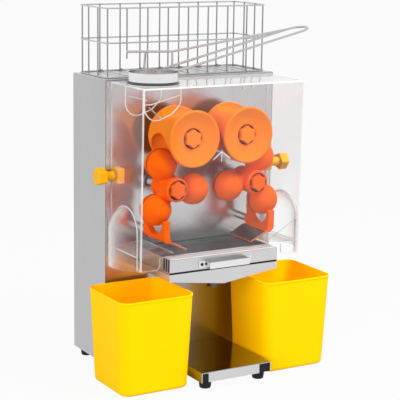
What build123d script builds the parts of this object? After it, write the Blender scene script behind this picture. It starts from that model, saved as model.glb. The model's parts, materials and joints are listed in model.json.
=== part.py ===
from build123d import *
import math
import os

os.makedirs("parts", exist_ok=True)

# Electric orange juicer, millimetres, +Z up, front towards -Y.
# Forward distances are measured from the face of the front panel.

# Cabinet and its folded sheet
cab_width = 418
cab_depth = 156
cab_height = 620
sheet = 2
sheet_fit = 0.2
cab_edge_radius = 4
rear_inset = 4
foot_height = 17
foot_radius = 14
foot_taper = 2
foot_inset = 20
foot_block = 24

# Base plate that carries the jug
plate_width = 172
plate_reach = 206
plate_skirt = 22
plate_flange = 36
tab_left_gap = 15
tab_right_gap = 27

# Press unit: axes, drums and ball rotors
upper_z = 521
drum_spacing = 132
mesh_distance = 112
rotor_outset = 33
press_forward = 83
drum_radius = 60.5
drum_length = 96
drum_rim = 4
drum_dish = 9
drum_edge = 2
cup_radius = 42
cups = 3
ball_radius = 34
neck_radius = 19
hub_radius = 26
hub_length = 70
hub_edge = 3
press_phase = 40
drum_recess_depth = 20
hub_recess_depth = 12
recess_gap = 2.5
drum_knob_radius = 20.5
rotor_knob_radius = 20
drum_knob_height = 14
rotor_knob_height = 18
knob_lobes = 6
lobe_radius = 6
lobe_offset = 2
knob_dome = 3

# Shafts and fits
shaft_radius = 10
sleeve_radius = 15
stud_radius = 5
stud_reach = 9
running_fit = 0.05
seat_fit = 0.05
face_gap = 0.3
seal_radius = 20
seal_lip = 4

# Gear train behind the panel
bearing_radius = 18
bearing_plate = 8
plate_standoff = 8
gear_gap = 5
gear_width = 10
sync_module = 6
mesh_module = 4
pinion_teeth = 14
pinion_angle = -60
pressure_angle = 20
addendum = 0.8
dedendum = 1.05
backlash = 0.4
bearing_plate_margin = 66
bearing_plate_rise = 84
bearing_plate_drop = 128
bearing_plate_corner = 12
spacer_radius = 7
spacer_inset = 14

# Motor
gearbox_size = 104
gearbox_depth = 30
motor_radius = 50
motor_length = 52
motor_cap = 8
motor_shaft_radius = 7
motor_shaft_grip = 18

# Knife
blade_thickness = 2
blade_rise = 3
blade_height = 26
blade_edge = 4
blade_keenness = 0.5
knife_clearance = 3
knife_foot_angle = 225
knife_rise = 16
knife_wall = 3.5
knife_flange_width = 46
knife_flange_height = 22
knife_flange_thickness = 3

# Peel ejectors
ejector_outer = 38
ejector_inner = 20
ejector_top_drop = 62
ejector_base_drop = 110
ejector_half_width = 45
ejector_clearance = 3
ejector_sink = 4
ejector_corner = 8
horn_width = 17
horn_sag = 2
tongue_reach = 19
tongue_root_drop = 106
tongue_tip_drop = 126
tongue_tip_width = 86
tongue_tip_thickness = 3
ejector_stem_radius = 9
ejector_stem_drop = 96
ejector_stem_outset = 28
wedge_sheet = 1.5
wedge_step = 5

# Clear cover
cover_width = 392
cover_wall = 3.5
cover_foot_depth = 137
cover_top_depth = 145
cover_bottom = 253
cover_top = 633
cover_edge_radius = 3
hood_half_length = 53
hood_bulge = 33
hood_forward = 69
hood_shoulder = 327
hood_wall = 3
floor_inner = 117
floor_inner_z = 287
floor_outer_z = 281
floor_sheet = 3
cheek_rise = 50
notch_half_width = 150
notch_top = 278
notch_radius = 10

# Cover catches and their knobs
catch_z = 436
catch_forward = 15
catch_length = 30
catch_height = 32
catch_thickness = 14
catch_stud_radius = 4
slot_fit = 0.4
grip_radius = 18
grip_thickness = 14
grip_neck_radius = 10
grip_neck_length = 27
grip_lobes = 5
grip_lobe_radius = 7

# Fruit inlet, ramp and hanging guide
inlet_inset = 60
inlet_forward = 75
inlet_radius = 53
inlet_height = 26
inlet_wall = 2
inlet_flange = 2
ramp_wire = 2.5
ramp_half_gap = 28
ramp_overhang = 16
ramp_end_z = 734
guard_rise = 34
guard_left = -32
guard_leg = 6
guard_turn = 60
guard_back = 58
guard_bend = 15
weld_gap = 0.5
guide_wire = 1.5
guide_front = 128
guide_back = 44
guide_bend = 7
guide_right = 36
guide_left = -48
guide_low = -21
guide_low_z = 563
guide_right_z = 602
guide_left_z = 588

# Strainer drawer and juice tank
tank_half_width = 133
tank_forward = 147
tank_rim_z = 242
tank_side_z = 227
tank_valley_z = 209
tank_sheet = 1.5
tank_rail = 9
spout_forward = 100
spout_radius = 13
spout_length = 16
spout_wall = 1.5
drawer_height = 31
drawer_sheet = 1.5
drawer_back = 8
drawer_side_gap = 2
drawer_front_sheet = 2
drawer_front_gap = 4
strainer_drop = 8
strainer_slots = 9
strainer_rows = 3
slot_width = 5
slot_margin = 14
handle_length = 129
handle_reach = 22
handle_height = 14
handle_strip = 2.5
handle_foot = 14

# Fruit basket
basket_half_width = 198
basket_front = 17
basket_back = 150
basket_height = 148
basket_wire = 1.6
basket_bend = 14
basket_bays = 8
basket_side_bays = 3
short_wire_rise = 40
weld_bite = 1

# Peel bins
bin_width = 175
bin_depth = 168
bin_height = 204
bin_taper = 13
bin_wall = 2.5
bin_corner = 24
bin_lip = 1.5
bin_lip_height = 4
bin_inner_x = 86
bin_back_gap = 14

# Electrics
control_width = 120
control_depth = 55
control_height = 90
control_x = 100
switch_back = 62
switch_z = 560
switch_height = 30
switch_width = 21
switch_depth = 22
switch_rim = 3
switch_rim_proud = 2
rocker_tilt = 10
rocker_gap = 0.6
rocker_hollow = 2
rocker_pin_radius = 2
inlet_socket_x = 128
inlet_socket_z = 74
socket_width = 27
socket_height = 20
socket_depth = 24
socket_wall = 3
socket_flange = 8
pin_width = 4
pin_thickness = 2
pin_pitch = 7
pin_inset = 6
louvre_rows = 6
louvre_columns = 2
louvre_length = 90
louvre_height = 8
louvre_pitch = 18
louvre_z = 470

# Screws shown on the front panel
screw_radius = 4
screw_head = 2
panel_screw_z = 605
panel_screw_x = (132, 157)

# Worked-out levels and places
face_y = (plate_reach - cab_depth) / 2
cab_bottom = foot_height
cab_top = cab_bottom + cab_height
cab_inner = cab_width / 2 - sheet
rear_plane = cab_depth - rear_inset
cover_half = cover_width / 2
inlet_x = inlet_inset - cover_half
ramp_end_x = cover_half + ramp_overhang
guard_left_x = inlet_x + guard_left
guard_leg_x = inlet_x + guard_leg
guard_turn_x = inlet_x + guard_turn
guide_right_x = inlet_x + guide_right
guide_left_x = inlet_x + guide_left
guide_low_x = inlet_x + guide_low
upper_x = drum_spacing / 2
lower_x = upper_x + rotor_outset
lower_z = upper_z - math.sqrt(mesh_distance**2 - rotor_outset**2)
upper_axes = {"left": (-upper_x, upper_z), "right": (upper_x, upper_z)}
lower_axes = {"left": (-lower_x, lower_z), "right": (lower_x, lower_z)}
shaft_axes = list(upper_axes.values()) + list(lower_axes.values())
sides = {"left": -1, "right": 1}
press_circle = mesh_distance / 2
mesh_angle = math.degrees(math.atan2(upper_z - lower_z, rotor_outset))
front_plate_back = sheet + plate_standoff
sync_back = front_plate_back + bearing_plate + gear_gap
mesh_back = sync_back + gear_width + gear_gap
rear_plate_back = mesh_back + gear_width + gear_gap
shaft_back = rear_plate_back + bearing_plate + gear_gap
sync_teeth = round(drum_spacing / sync_module)
mesh_teeth = round(mesh_distance / mesh_module)
sync_gear_module = drum_spacing / sync_teeth
mesh_gear_module = mesh_distance / mesh_teeth

# Planes on the panel's face: from above, from the front and from the side
plan = Plane(origin=(0, face_y, 0))
front = Plane(origin=(0, face_y, 0), x_dir=(1, 0, 0), z_dir=(0, -1, 0))
profile = Plane(origin=(0, face_y, 0), x_dir=(0, -1, 0), z_dir=(-1, 0, 0))


def axis_plane(place):
    """Plane through a shaft's axis: x runs forward, y runs up."""
    return Plane(origin=(place[0], face_y, place[1]), x_dir=(0, -1, 0), z_dir=(-1, 0, 0))


def front_at(place, forward):
    """Plane square to a shaft at a forward distance: x runs right, y runs up."""
    return Plane(origin=(place[0], face_y - forward, place[1]), x_dir=(1, 0, 0), z_dir=(0, -1, 0))


def shaft_axis(place):
    """Axis of a shaft, pointing forward."""
    return Axis((place[0], face_y, place[1]), (0, -1, 0))


def add_turned(place, outline):
    """Turn an outline of (forward, radius) points about a shaft's axis into the current part."""
    with BuildSketch(axis_plane(place)) as section:
        with BuildLine():
            Polyline(*outline, close=True)
        make_face()
    revolve(section.sketch, axis=shaft_axis(place))


def add_wire(points, radius, bend):
    """Sweep a round wire through points, its corners bent, into the current part."""
    with BuildLine() as route:
        if len(points) > 2:
            FilletPolyline(*points, radius=bend)
        else:
            Line(*points)
    with BuildSketch(Plane(origin=route.line @ 0, z_dir=route.line % 0)) as section:
        Circle(radius)
    sweep(section.sketch, path=route.line)


def round_point(radius, angle):
    """Point at a radius and an angle in degrees."""
    return (radius * math.cos(math.radians(angle)), radius * math.sin(math.radians(angle)))


def involute(angle):
    """Involute function of an angle in radians."""
    return math.tan(angle) - angle


def add_gear_outline(teeth, module, phase):
    """Face of a spur gear with a tooth centred on the phase angle, in the current sketch."""
    pitch = teeth * module / 2
    base = pitch * math.cos(math.radians(pressure_angle))
    tip = pitch + addendum * module
    root = pitch - dedendum * module
    tooth = 360 / teeth

    def half_angle(radius):
        flank = math.acos(min(1, base / radius))
        half_tooth = (math.pi * module / 2 - backlash) / (2 * pitch)
        return math.degrees(half_tooth + involute(math.radians(pressure_angle)) - involute(flank))

    middle = (max(root, base) + tip) / 2
    with BuildLine() as outline:
        for number in range(teeth):
            centre = phase + number * tooth
            left_root = round_point(root, centre - half_angle(max(root, base)))
            left_middle = round_point(middle, centre - half_angle(middle))
            left_tip = round_point(tip, centre - half_angle(tip))
            right_tip = round_point(tip, centre + half_angle(tip))
            right_middle = round_point(middle, centre + half_angle(middle))
            right_root = round_point(root, centre + half_angle(max(root, base)))
            next_root = round_point(root, centre + tooth - half_angle(max(root, base)))
            ThreePointArc(left_root, left_middle, left_tip)
            Line(left_tip, right_tip)
            ThreePointArc(right_tip, right_middle, right_root)
            Line(right_root, next_root)
    make_face(outline.edges())


def mating_phase(teeth, phase, direction, mate_teeth):
    """Phase of a mate that meshes with a gear in a direction, both angles in degrees."""
    part_of_tooth = (direction - phase) * teeth / 360
    return direction + 180 + (part_of_tooth + 0.5) * 360 / mate_teeth


# Cabinet shell: one sheet wrapped over both sides and the top
with BuildPart() as cabinet_shell:
    with BuildSketch(front):
        with Locations((0, cab_bottom)):
            Rectangle(cab_width, cab_height, align=(Align.CENTER, Align.MIN))
        top_corners = vertices().sort_by(Axis.Y)[-2:]
        fillet(top_corners, cab_edge_radius)
        with Locations((0, cab_bottom)):
            Rectangle(
                2 * cab_inner, cab_height - sheet, align=(Align.CENTER, Align.MIN), mode=Mode.SUBTRACT)
    extrude(amount=-cab_depth)
    with BuildSketch(Plane.YZ.offset(cab_inner - sheet)):
        with Locations((face_y + switch_back, switch_z)):
            Rectangle(switch_width, switch_height)
    extrude(amount=3 * sheet, mode=Mode.SUBTRACT)
cabinet_shell.part.label = "cabinet_shell"
export_step(cabinet_shell.part, "parts/cabinet_shell.step")

# Front panel with the shafts' seal holes
panel_width = 2 * (cab_inner - sheet_fit)
panel_height = cab_height - sheet - sheet_fit
with BuildPart() as front_panel:
    with BuildSketch(front):
        with Locations((0, cab_bottom)):
            Rectangle(panel_width, panel_height, align=(Align.CENTER, Align.MIN))
        with Locations(*shaft_axes):
            Circle(seal_radius + seat_fit, mode=Mode.SUBTRACT)
    extrude(amount=-sheet)
front_panel.part.label = "front_panel"
export_step(front_panel.part, "parts/front_panel.step")

# Rear cover with rows of louvres and the socket's cut-out
with BuildPart() as rear_cover:
    with BuildSketch(front.offset(-rear_plane)):
        with Locations((0, cab_bottom)):
            Rectangle(panel_width, panel_height, align=(Align.CENTER, Align.MIN))
        with Locations((0, louvre_z)):
            with GridLocations(1.5 * louvre_length, louvre_pitch, louvre_columns, louvre_rows):
                SlotOverall(louvre_length, louvre_height, mode=Mode.SUBTRACT)
        with Locations((inlet_socket_x, inlet_socket_z)):
            Rectangle(socket_width + 2 * seat_fit, socket_height + 2 * seat_fit, mode=Mode.SUBTRACT)
    extrude(amount=sheet)
rear_cover.part.label = "rear_cover"
export_step(rear_cover.part, "parts/rear_cover.step")

# Cabinet floor between the panels
floor_front = sheet + sheet_fit
floor_length = rear_plane - sheet - 2 * sheet_fit - sheet
with BuildPart() as cabinet_floor:
    with BuildSketch(plan.offset(cab_bottom)):
        with Locations((0, floor_front)):
            Rectangle(panel_width, floor_length, align=(Align.CENTER, Align.MIN))
    extrude(amount=sheet)
cabinet_floor.part.label = "cabinet_floor"
export_step(cabinet_floor.part, "parts/cabinet_floor.step")

# Base plate: a folded tray, its skirt turned in below to carry the feet, its front tab short of the corners
tab_gaps = {"left": tab_left_gap, "right": tab_right_gap}
with BuildPart() as base_plate:
    with BuildSketch(plan.offset(foot_height)):
        with Locations((0, -plate_reach / 2)):
            Rectangle(plate_width, plate_reach)
    extrude(amount=plate_skirt)
    fillet(base_plate.edges().group_by(Axis.Z)[-1].sort_by(Axis.Y)[:-1], sheet)
    with BuildSketch(plan.offset(foot_height + sheet)):
        with Locations((0, -plate_reach / 2)):
            Rectangle(plate_width - 2 * sheet, plate_reach - 2 * sheet)
    extrude(amount=plate_skirt - 2 * sheet, mode=Mode.SUBTRACT)
    with BuildSketch(plan.offset(foot_height)):
        with Locations((0, -plate_reach / 2)):
            Rectangle(plate_width - 2 * plate_flange, plate_reach - 2 * plate_flange)
    extrude(amount=2 * sheet, mode=Mode.SUBTRACT)
    with BuildSketch(plan.offset(foot_height)):
        for side, sign in sides.items():
            corner_x = sign * (plate_width / 2 - sheet)
            with Locations((corner_x - sign * tab_gaps[side] / 2, -plate_reach)):
                Rectangle(tab_gaps[side], 2 * foot_block)
    extrude(amount=plate_skirt - sheet, mode=Mode.SUBTRACT)
base_plate.part.label = "base_plate"
export_step(base_plate.part, "parts/base_plate.step")

# Rubber feet under the base plate's front corners and the cabinet's corners
plate_foot_x = plate_width / 2 - foot_inset
cab_foot_x = cab_width / 2 - foot_inset
foot_places = [(-plate_foot_x, foot_inset - plate_reach), (plate_foot_x, foot_inset - plate_reach)]
foot_places += [(-cab_foot_x, foot_inset), (cab_foot_x, foot_inset)]
foot_places += [(-cab_foot_x, rear_plane - foot_inset), (cab_foot_x, rear_plane - foot_inset)]
with BuildPart(plan) as rubber_feet:
    with Locations(*foot_places):
        Cone(
            foot_radius - foot_taper, foot_radius, foot_height,
            align=(Align.CENTER, Align.CENTER, Align.MIN))
    with BuildSketch(plan.offset(foot_height)):
        for side, sign in sides.items():
            corner_x = sign * (plate_width / 2 - sheet)
            with Locations((corner_x - sign * tab_gaps[side] / 2, sheet + foot_block / 2 - plate_reach)):
                Rectangle(tab_gaps[side], foot_block - 2 * sheet)
    extrude(amount=plate_skirt - sheet)
rubber_feet.part.label = "rubber_feet"
export_step(rubber_feet.part, "parts/rubber_feet.step")

# Bearing plates, their bearings, spacers and the shaft seals
bearing_top = upper_z + bearing_plate_rise
bearing_bottom = lower_z - bearing_plate_drop
bearing_half_width = lower_x + bearing_plate_margin
pinion_reach = (mesh_teeth + pinion_teeth) * mesh_gear_module / 2
pinion_step = round_point(pinion_reach, pinion_angle)
pinion_place = (-lower_x + pinion_step[0], lower_z + pinion_step[1])
with BuildPart() as bearing_plates:
    for back in (front_plate_back, rear_plate_back):
        with BuildSketch(front.offset(-back)):
            with Locations((0, (bearing_top + bearing_bottom) / 2)):
                RectangleRounded(2 * bearing_half_width, bearing_top - bearing_bottom, bearing_plate_corner)
            with Locations(*shaft_axes):
                Circle(bearing_radius + seat_fit, mode=Mode.SUBTRACT)
            if back == rear_plate_back:
                with Locations(pinion_place):
                    Circle(motor_shaft_radius + gear_gap, mode=Mode.SUBTRACT)
        extrude(amount=-bearing_plate)
bearing_plates.part.label = "bearing_plates"
export_step(bearing_plates.part, "parts/bearing_plates.step")

with BuildPart() as shaft_bearings:
    for back in (front_plate_back, rear_plate_back):
        with BuildSketch(front.offset(-back)):
            with Locations(*shaft_axes):
                Circle(bearing_radius)
                Circle(shaft_radius + running_fit, mode=Mode.SUBTRACT)
        extrude(amount=-bearing_plate)
shaft_bearings.part.label = "shaft_bearings"
export_step(shaft_bearings.part, "parts/shaft_bearings.step")

spacer_x = bearing_half_width - spacer_inset
spacer_levels = (bearing_bottom + spacer_inset, bearing_top - spacer_inset)
spacer_places = [(x, z) for x in (-spacer_x, spacer_x) for z in spacer_levels]
with BuildPart() as plate_spacers:
    for start, end in ((sheet, front_plate_back), (front_plate_back + bearing_plate, rear_plate_back)):
        with BuildSketch(front.offset(-start)):
            with Locations(*spacer_places):
                Circle(spacer_radius)
        extrude(amount=start - end)
plate_spacers.part.label = "plate_spacers"
export_step(plate_spacers.part, "parts/plate_spacers.step")

with BuildPart() as shaft_seals:
    with BuildSketch(front.offset(seal_lip)):
        with Locations(*shaft_axes):
            Circle(seal_radius)
            Circle(shaft_radius + running_fit, mode=Mode.SUBTRACT)
    extrude(amount=-seal_lip - sheet)
shaft_seals.part.label = "shaft_seals"
export_step(shaft_seals.part, "parts/shaft_seals.step")

# Shafts, stepped: bearing journal, sleeve behind the press piece, seat and knob stud
drum_back = press_forward - drum_length / 2
drum_front = press_forward + drum_length / 2
hub_back = press_forward - hub_length / 2
hub_front = press_forward + hub_length / 2
drum_seat = drum_front - drum_recess_depth
hub_seat = hub_front - hub_recess_depth
sleeve_start = seal_lip + gear_gap


def add_shaft(place, seat_back, seat_front):
    """Stepped shaft that carries a press piece between two forward distances."""
    shoulder = seat_front - face_gap
    stud_end = seat_front + stud_reach
    add_turned(place, [
        (-shaft_back, 0), (-shaft_back, shaft_radius), (sleeve_start, shaft_radius),
        (sleeve_start, sleeve_radius), (seat_back, sleeve_radius), (seat_back, shaft_radius),
        (shoulder, shaft_radius), (shoulder, stud_radius), (stud_end, stud_radius), (stud_end, 0)])


for side in sides:
    with BuildPart() as upper_shaft:
        add_shaft(upper_axes[side], drum_back, drum_seat)
    upper_shaft.part.label = f"upper_shaft_{side}"
    export_step(upper_shaft.part, f"parts/upper_shaft_{side}.step")

    with BuildPart() as lower_shaft:
        add_shaft(lower_axes[side], hub_back, hub_seat)
    lower_shaft.part.label = f"lower_shaft_{side}"
    export_step(lower_shaft.part, f"parts/lower_shaft_{side}.step")

# Cup drums and ball rotors, in step with each other and mirrored left to right
bore = shaft_radius + seat_fit
drum_recess = drum_knob_radius + recess_gap
hub_recess = rotor_knob_radius + recess_gap
for side, sign in sides.items():
    drum_place = upper_axes[side]
    rotor_place = lower_axes[side]
    toward_upper = 90 + sign * (90 - mesh_angle)
    cup_start = toward_upper + 180 + sign * press_phase
    ball_start = toward_upper - sign * press_phase

    with BuildPart() as cup_drum:
        add_turned(drum_place, [
            (drum_back, bore), (drum_back, drum_radius - drum_edge), (drum_back + drum_edge, drum_radius),
            (drum_front - drum_edge, drum_radius), (drum_front, drum_radius - drum_edge),
            (drum_front, drum_radius - drum_rim), (drum_front - drum_dish, drum_recess),
            (drum_seat, drum_recess), (drum_seat, bore)])
        for number in range(cups):
            step = round_point(press_circle, cup_start + number * 360 / cups)
            with Locations((drum_place[0] + step[0], face_y - press_forward, drum_place[1] + step[1])):
                Sphere(cup_radius, mode=Mode.SUBTRACT)
    cup_drum.part.label = f"cup_drum_{side}"
    export_step(cup_drum.part, f"parts/cup_drum_{side}.step")

    with BuildPart() as ball_rotor:
        add_turned(rotor_place, [
            (hub_back, 0), (hub_back, hub_radius), (hub_front - hub_edge, hub_radius),
            (hub_front, hub_radius - hub_edge), (hub_front, 0)])
        for number in range(cups):
            across, up = round_point(1, ball_start + number * 360 / cups)
            middle = Vector(rotor_place[0], face_y - press_forward, rotor_place[1])
            ball_plane = Plane(origin=middle, x_dir=(across, 0, up), z_dir=(-up, 0, across))
            neck_end = (press_circle - math.sqrt(ball_radius**2 - neck_radius**2), neck_radius)
            ball_tip = (press_circle + ball_radius, 0)
            with BuildSketch(ball_plane):
                with BuildLine():
                    Polyline(ball_tip, (0, 0), (0, neck_radius), neck_end)
                    ThreePointArc(neck_end, (press_circle, ball_radius), ball_tip)
                make_face()
            revolve(axis=Axis(middle, (across, 0, up)))
        with BuildSketch(front.offset(hub_seat)):
            with Locations(rotor_place):
                Circle(hub_recess)
        extrude(amount=hub_recess_depth, mode=Mode.SUBTRACT)
        with BuildSketch(front.offset(hub_back)):
            with Locations(rotor_place):
                Circle(bore)
        extrude(amount=hub_length, mode=Mode.SUBTRACT)
    ball_rotor.part.label = f"ball_rotor_{side}"
    export_step(ball_rotor.part, f"parts/ball_rotor_{side}.step")

# Star knobs that clamp the drums and rotors on their shafts
for row, axes, radius, height, seat in (
        ("drum", upper_axes, drum_knob_radius, drum_knob_height, drum_seat + face_gap),
        ("rotor", lower_axes, rotor_knob_radius, rotor_knob_height, hub_seat + face_gap)):
    for side in sides:
        with BuildPart() as knob:
            with BuildSketch(front.offset(seat)):
                with Locations(axes[side]):
                    Circle(radius)
                    with PolarLocations(radius + lobe_offset, knob_lobes):
                        Circle(lobe_radius, mode=Mode.SUBTRACT)
            extrude(amount=height)
            chamfer(knob.faces().sort_by(Axis.Y)[0].edges(), knob_dome)
            with BuildSketch(front.offset(seat)):
                with Locations(axes[side]):
                    Circle(stud_radius + running_fit)
            extrude(amount=stud_reach + face_gap, mode=Mode.SUBTRACT)
        knob.part.label = f"{row}_knob_{side}"
        export_step(knob.part, f"parts/{row}_knob_{side}.step")

# Gears: one pair couples the upper shafts, two pairs couple upper to lower shafts
sync_phases = {"left": 0, "right": mating_phase(sync_teeth, 0, 0, sync_teeth)}
upper_phases = {"left": mesh_angle + 180, "right": -mesh_angle}
lower_phases = {
    "left": mating_phase(mesh_teeth, mesh_angle + 180, mesh_angle + 180, mesh_teeth),
    "right": mating_phase(mesh_teeth, -mesh_angle, -mesh_angle, mesh_teeth)}
for row, axes, phases, teeth, module, back in (
        ("sync_gear", upper_axes, sync_phases, sync_teeth, sync_gear_module, sync_back),
        ("upper_gear", upper_axes, upper_phases, mesh_teeth, mesh_gear_module, mesh_back),
        ("lower_gear", lower_axes, lower_phases, mesh_teeth, mesh_gear_module, mesh_back)):
    for side, place in axes.items():
        with BuildPart() as gear:
            with BuildSketch(front_at(place, -back)):
                add_gear_outline(teeth, module, phases[side])
                Circle(bore, mode=Mode.SUBTRACT)
            extrude(amount=-gear_width)
        gear.part.label = f"{row}_{side}"
        export_step(gear.part, f"parts/{row}_{side}.step")

# Motor pinion with its shaft, gearbox and motor
gearbox_back = rear_plate_back + bearing_plate
pinion_phase = mating_phase(mesh_teeth, lower_phases["left"], pinion_angle, pinion_teeth)
pinion_plane = front_at(pinion_place, -mesh_back)
with BuildPart() as motor_pinion:
    with BuildSketch(pinion_plane):
        add_gear_outline(pinion_teeth, mesh_gear_module, pinion_phase)
    extrude(amount=-gear_width)
    with BuildSketch(pinion_plane):
        Circle(motor_shaft_radius)
    extrude(amount=mesh_back - gearbox_back - motor_shaft_grip)
motor_pinion.part.label = "motor_pinion"
export_step(motor_pinion.part, "parts/motor_pinion.step")

with BuildPart() as gearbox:
    with BuildSketch(front.offset(-gearbox_back)):
        with Locations(pinion_place):
            RectangleRounded(gearbox_size, gearbox_size, bearing_plate_corner)
    extrude(amount=-gearbox_depth)
    with BuildSketch(front.offset(-gearbox_back)):
        with Locations(pinion_place):
            Circle(motor_shaft_radius + running_fit)
    extrude(amount=-motor_shaft_grip - face_gap, mode=Mode.SUBTRACT)
gearbox.part.label = "gearbox"
export_step(gearbox.part, "parts/gearbox.step")

motor_back = gearbox_back + gearbox_depth
motor_end = motor_back + motor_length
with BuildPart() as drive_motor:
    add_turned(pinion_place, [
        (-motor_back, 0), (-motor_back, motor_radius), (motor_cap - motor_end, motor_radius),
        (-motor_end, motor_radius - motor_cap), (-motor_end, 0)])
drive_motor.part.label = "drive_motor"
export_step(drive_motor.part, "parts/drive_motor.step")

# Knife: a bent inverted-V sheet under both drums, with an upright blade through its ridge
knife_front = drum_front - drum_edge
foot_step = round_point(drum_radius + knife_clearance, knife_foot_angle)
knife_foot = (upper_x + foot_step[0], upper_z + foot_step[1])
ridge_z = knife_foot[1] + knife_rise
with BuildPart() as knife_holder:
    with BuildSketch(front):
        with BuildLine():
            Polyline(
                (0, ridge_z), knife_foot, (knife_foot[0], knife_foot[1] - knife_wall),
                (0, ridge_z - knife_wall), close=True)
        make_face()
        mirror(about=Plane.YZ)
    extrude(amount=knife_front)
    with BuildSketch(front):
        with Locations((0, ridge_z - knife_wall)):
            RectangleRounded(knife_flange_width, knife_flange_height, knife_flange_thickness)
    extrude(amount=knife_flange_thickness)
    with BuildSketch(front.offset(drum_back)):
        with Locations((0, ridge_z)):
            Rectangle(blade_thickness, 2 * blade_height)
    extrude(amount=drum_length, mode=Mode.SUBTRACT)
knife_holder.part.label = "knife_holder"
export_step(knife_holder.part, "parts/knife_holder.step")

blade_tip = ridge_z + blade_rise
blade_root = blade_tip - blade_height
with BuildPart() as knife_blade:
    with BuildSketch(front.offset(drum_back)):
        with BuildLine():
            half = blade_thickness / 2
            keen = blade_keenness / 2
            Polyline(
                (-half, blade_root), (half, blade_root), (half, blade_tip - blade_edge),
                (keen, blade_tip), (-keen, blade_tip), (-half, blade_tip - blade_edge), close=True)
        make_face()
    extrude(amount=knife_front - drum_back)
knife_blade.part.label = "knife_blade"
export_step(knife_blade.part, "parts/knife_blade.step")

# Peel ejectors: forks that the balls pass through, each with a bright wedge on its tongue
slot_radius = ball_radius + ejector_clearance
slot_z = lower_z - press_circle - ejector_sink
for side, sign in sides.items():
    outer_x = sign * (lower_x + ejector_outer)
    inner_x = sign * (lower_x + ejector_inner)
    tip_x = sign * (lower_x - tongue_reach)
    stem_x = sign * (lower_x + ejector_stem_outset)
    base_z = lower_z - ejector_base_drop
    tongue_root = (inner_x, lower_z - tongue_root_drop)
    tongue_tip = (tip_x, lower_z - tongue_tip_drop)
    back = press_forward - ejector_half_width
    ahead = press_forward + ejector_half_width
    taper = [
        (outer_x, -back), (outer_x, -ahead), (inner_x, -ahead),
        (tip_x, -press_forward - tongue_tip_width / 2), (tip_x, -press_forward + tongue_tip_width / 2),
        (inner_x, -back)]
    with BuildPart() as peel_ejector:
        with BuildSketch(front.offset(back)):
            with BuildLine():
                horn_top = (outer_x - sign * horn_width, lower_z - ejector_top_drop)
                horn_middle = (
                    (horn_top[0] + tongue_root[0]) / 2 + sign * horn_sag,
                    (horn_top[1] + tongue_root[1]) / 2 - horn_sag)
                Polyline(
                    tongue_root, tongue_tip, (tip_x, tongue_tip[1] - tongue_tip_thickness),
                    (inner_x, base_z), (outer_x - sign * ejector_corner, base_z),
                    (outer_x, base_z + ejector_corner), (outer_x, horn_top[1]), horn_top)
                ThreePointArc(horn_top, horn_middle, tongue_root)
            make_face()
        extrude(amount=2 * ejector_half_width)
        with BuildSketch(plan):
            with BuildLine():
                Polyline(*taper, close=True)
            make_face()
        extrude(amount=upper_z, mode=Mode.INTERSECT)
        with BuildSketch(Plane.YZ.offset(tip_x)):
            with Locations((face_y - press_forward, slot_z)):
                Circle(slot_radius)
                Rectangle(2 * slot_radius, press_circle, align=(Align.CENTER, Align.MIN))
        extrude(amount=2 * (outer_x - tip_x), mode=Mode.SUBTRACT)
        with BuildSketch(front):
            with Locations((stem_x, lower_z - ejector_stem_drop)):
                Circle(ejector_stem_radius)
        extrude(amount=back + sheet)
    peel_ejector.part.label = f"peel_ejector_{side}"
    export_step(peel_ejector.part, f"parts/peel_ejector_{side}.step")

    along = Vector(*tongue_tip) - Vector(*tongue_root)
    start = Vector(*tongue_root) + along.normalized() * wedge_step
    lift = Vector(-along.Y, along.X).normalized() * wedge_sheet
    if lift.Y < 0:
        lift = lift * -1
    end = Vector(*tongue_tip)
    with BuildPart() as ejector_wedge:
        with BuildSketch(front.offset(back)):
            with BuildLine():
                Polyline(start, end, end + lift, start + lift, close=True)
            make_face()
        extrude(amount=2 * ejector_half_width)
        with BuildSketch(plan):
            with BuildLine():
                Polyline(*taper, close=True)
            make_face()
        extrude(amount=upper_z, mode=Mode.INTERSECT)
    ejector_wedge.part.label = f"ejector_wedge_{side}"
    export_step(ejector_wedge.part, f"parts/ejector_wedge_{side}.step")

# Juice tank with a V bottom, drawer rails along its rim and an open spout
with BuildPart() as juice_tank:
    with BuildSketch(front):
        with BuildLine():
            Polyline(
                (-tank_half_width, tank_rim_z), (-tank_half_width, tank_side_z), (0, tank_valley_z),
                (tank_half_width, tank_side_z), (tank_half_width, tank_rim_z), close=True)
        make_face()
    extrude(amount=tank_forward)
    with BuildSketch(front.offset(tank_sheet)):
        with BuildLine():
            inner = tank_half_width - tank_sheet
            side_floor = tank_side_z + tank_sheet
            rail = tank_half_width - tank_rail
            rail_z = tank_rim_z - tank_sheet
            Polyline(
                (-rail, tank_rim_z), (-rail, rail_z), (-inner, rail_z), (-inner, side_floor),
                (0, tank_valley_z + tank_sheet), (inner, side_floor), (inner, rail_z),
                (rail, rail_z), (rail, tank_rim_z), close=True)
        make_face()
    extrude(amount=tank_forward - 2 * tank_sheet, mode=Mode.SUBTRACT)
    with BuildSketch(plan.offset(tank_valley_z - spout_length)):
        with Locations((0, -spout_forward)):
            Circle(spout_radius)
    extrude(amount=spout_length + 2 * tank_sheet)
    with BuildSketch(plan.offset(tank_valley_z - spout_length)):
        with Locations((0, -spout_forward)):
            Circle(spout_radius - spout_wall)
    extrude(amount=spout_length + 4 * tank_sheet, mode=Mode.SUBTRACT)
juice_tank.part.label = "juice_tank"
export_step(juice_tank.part, "parts/juice_tank.step")

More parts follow.
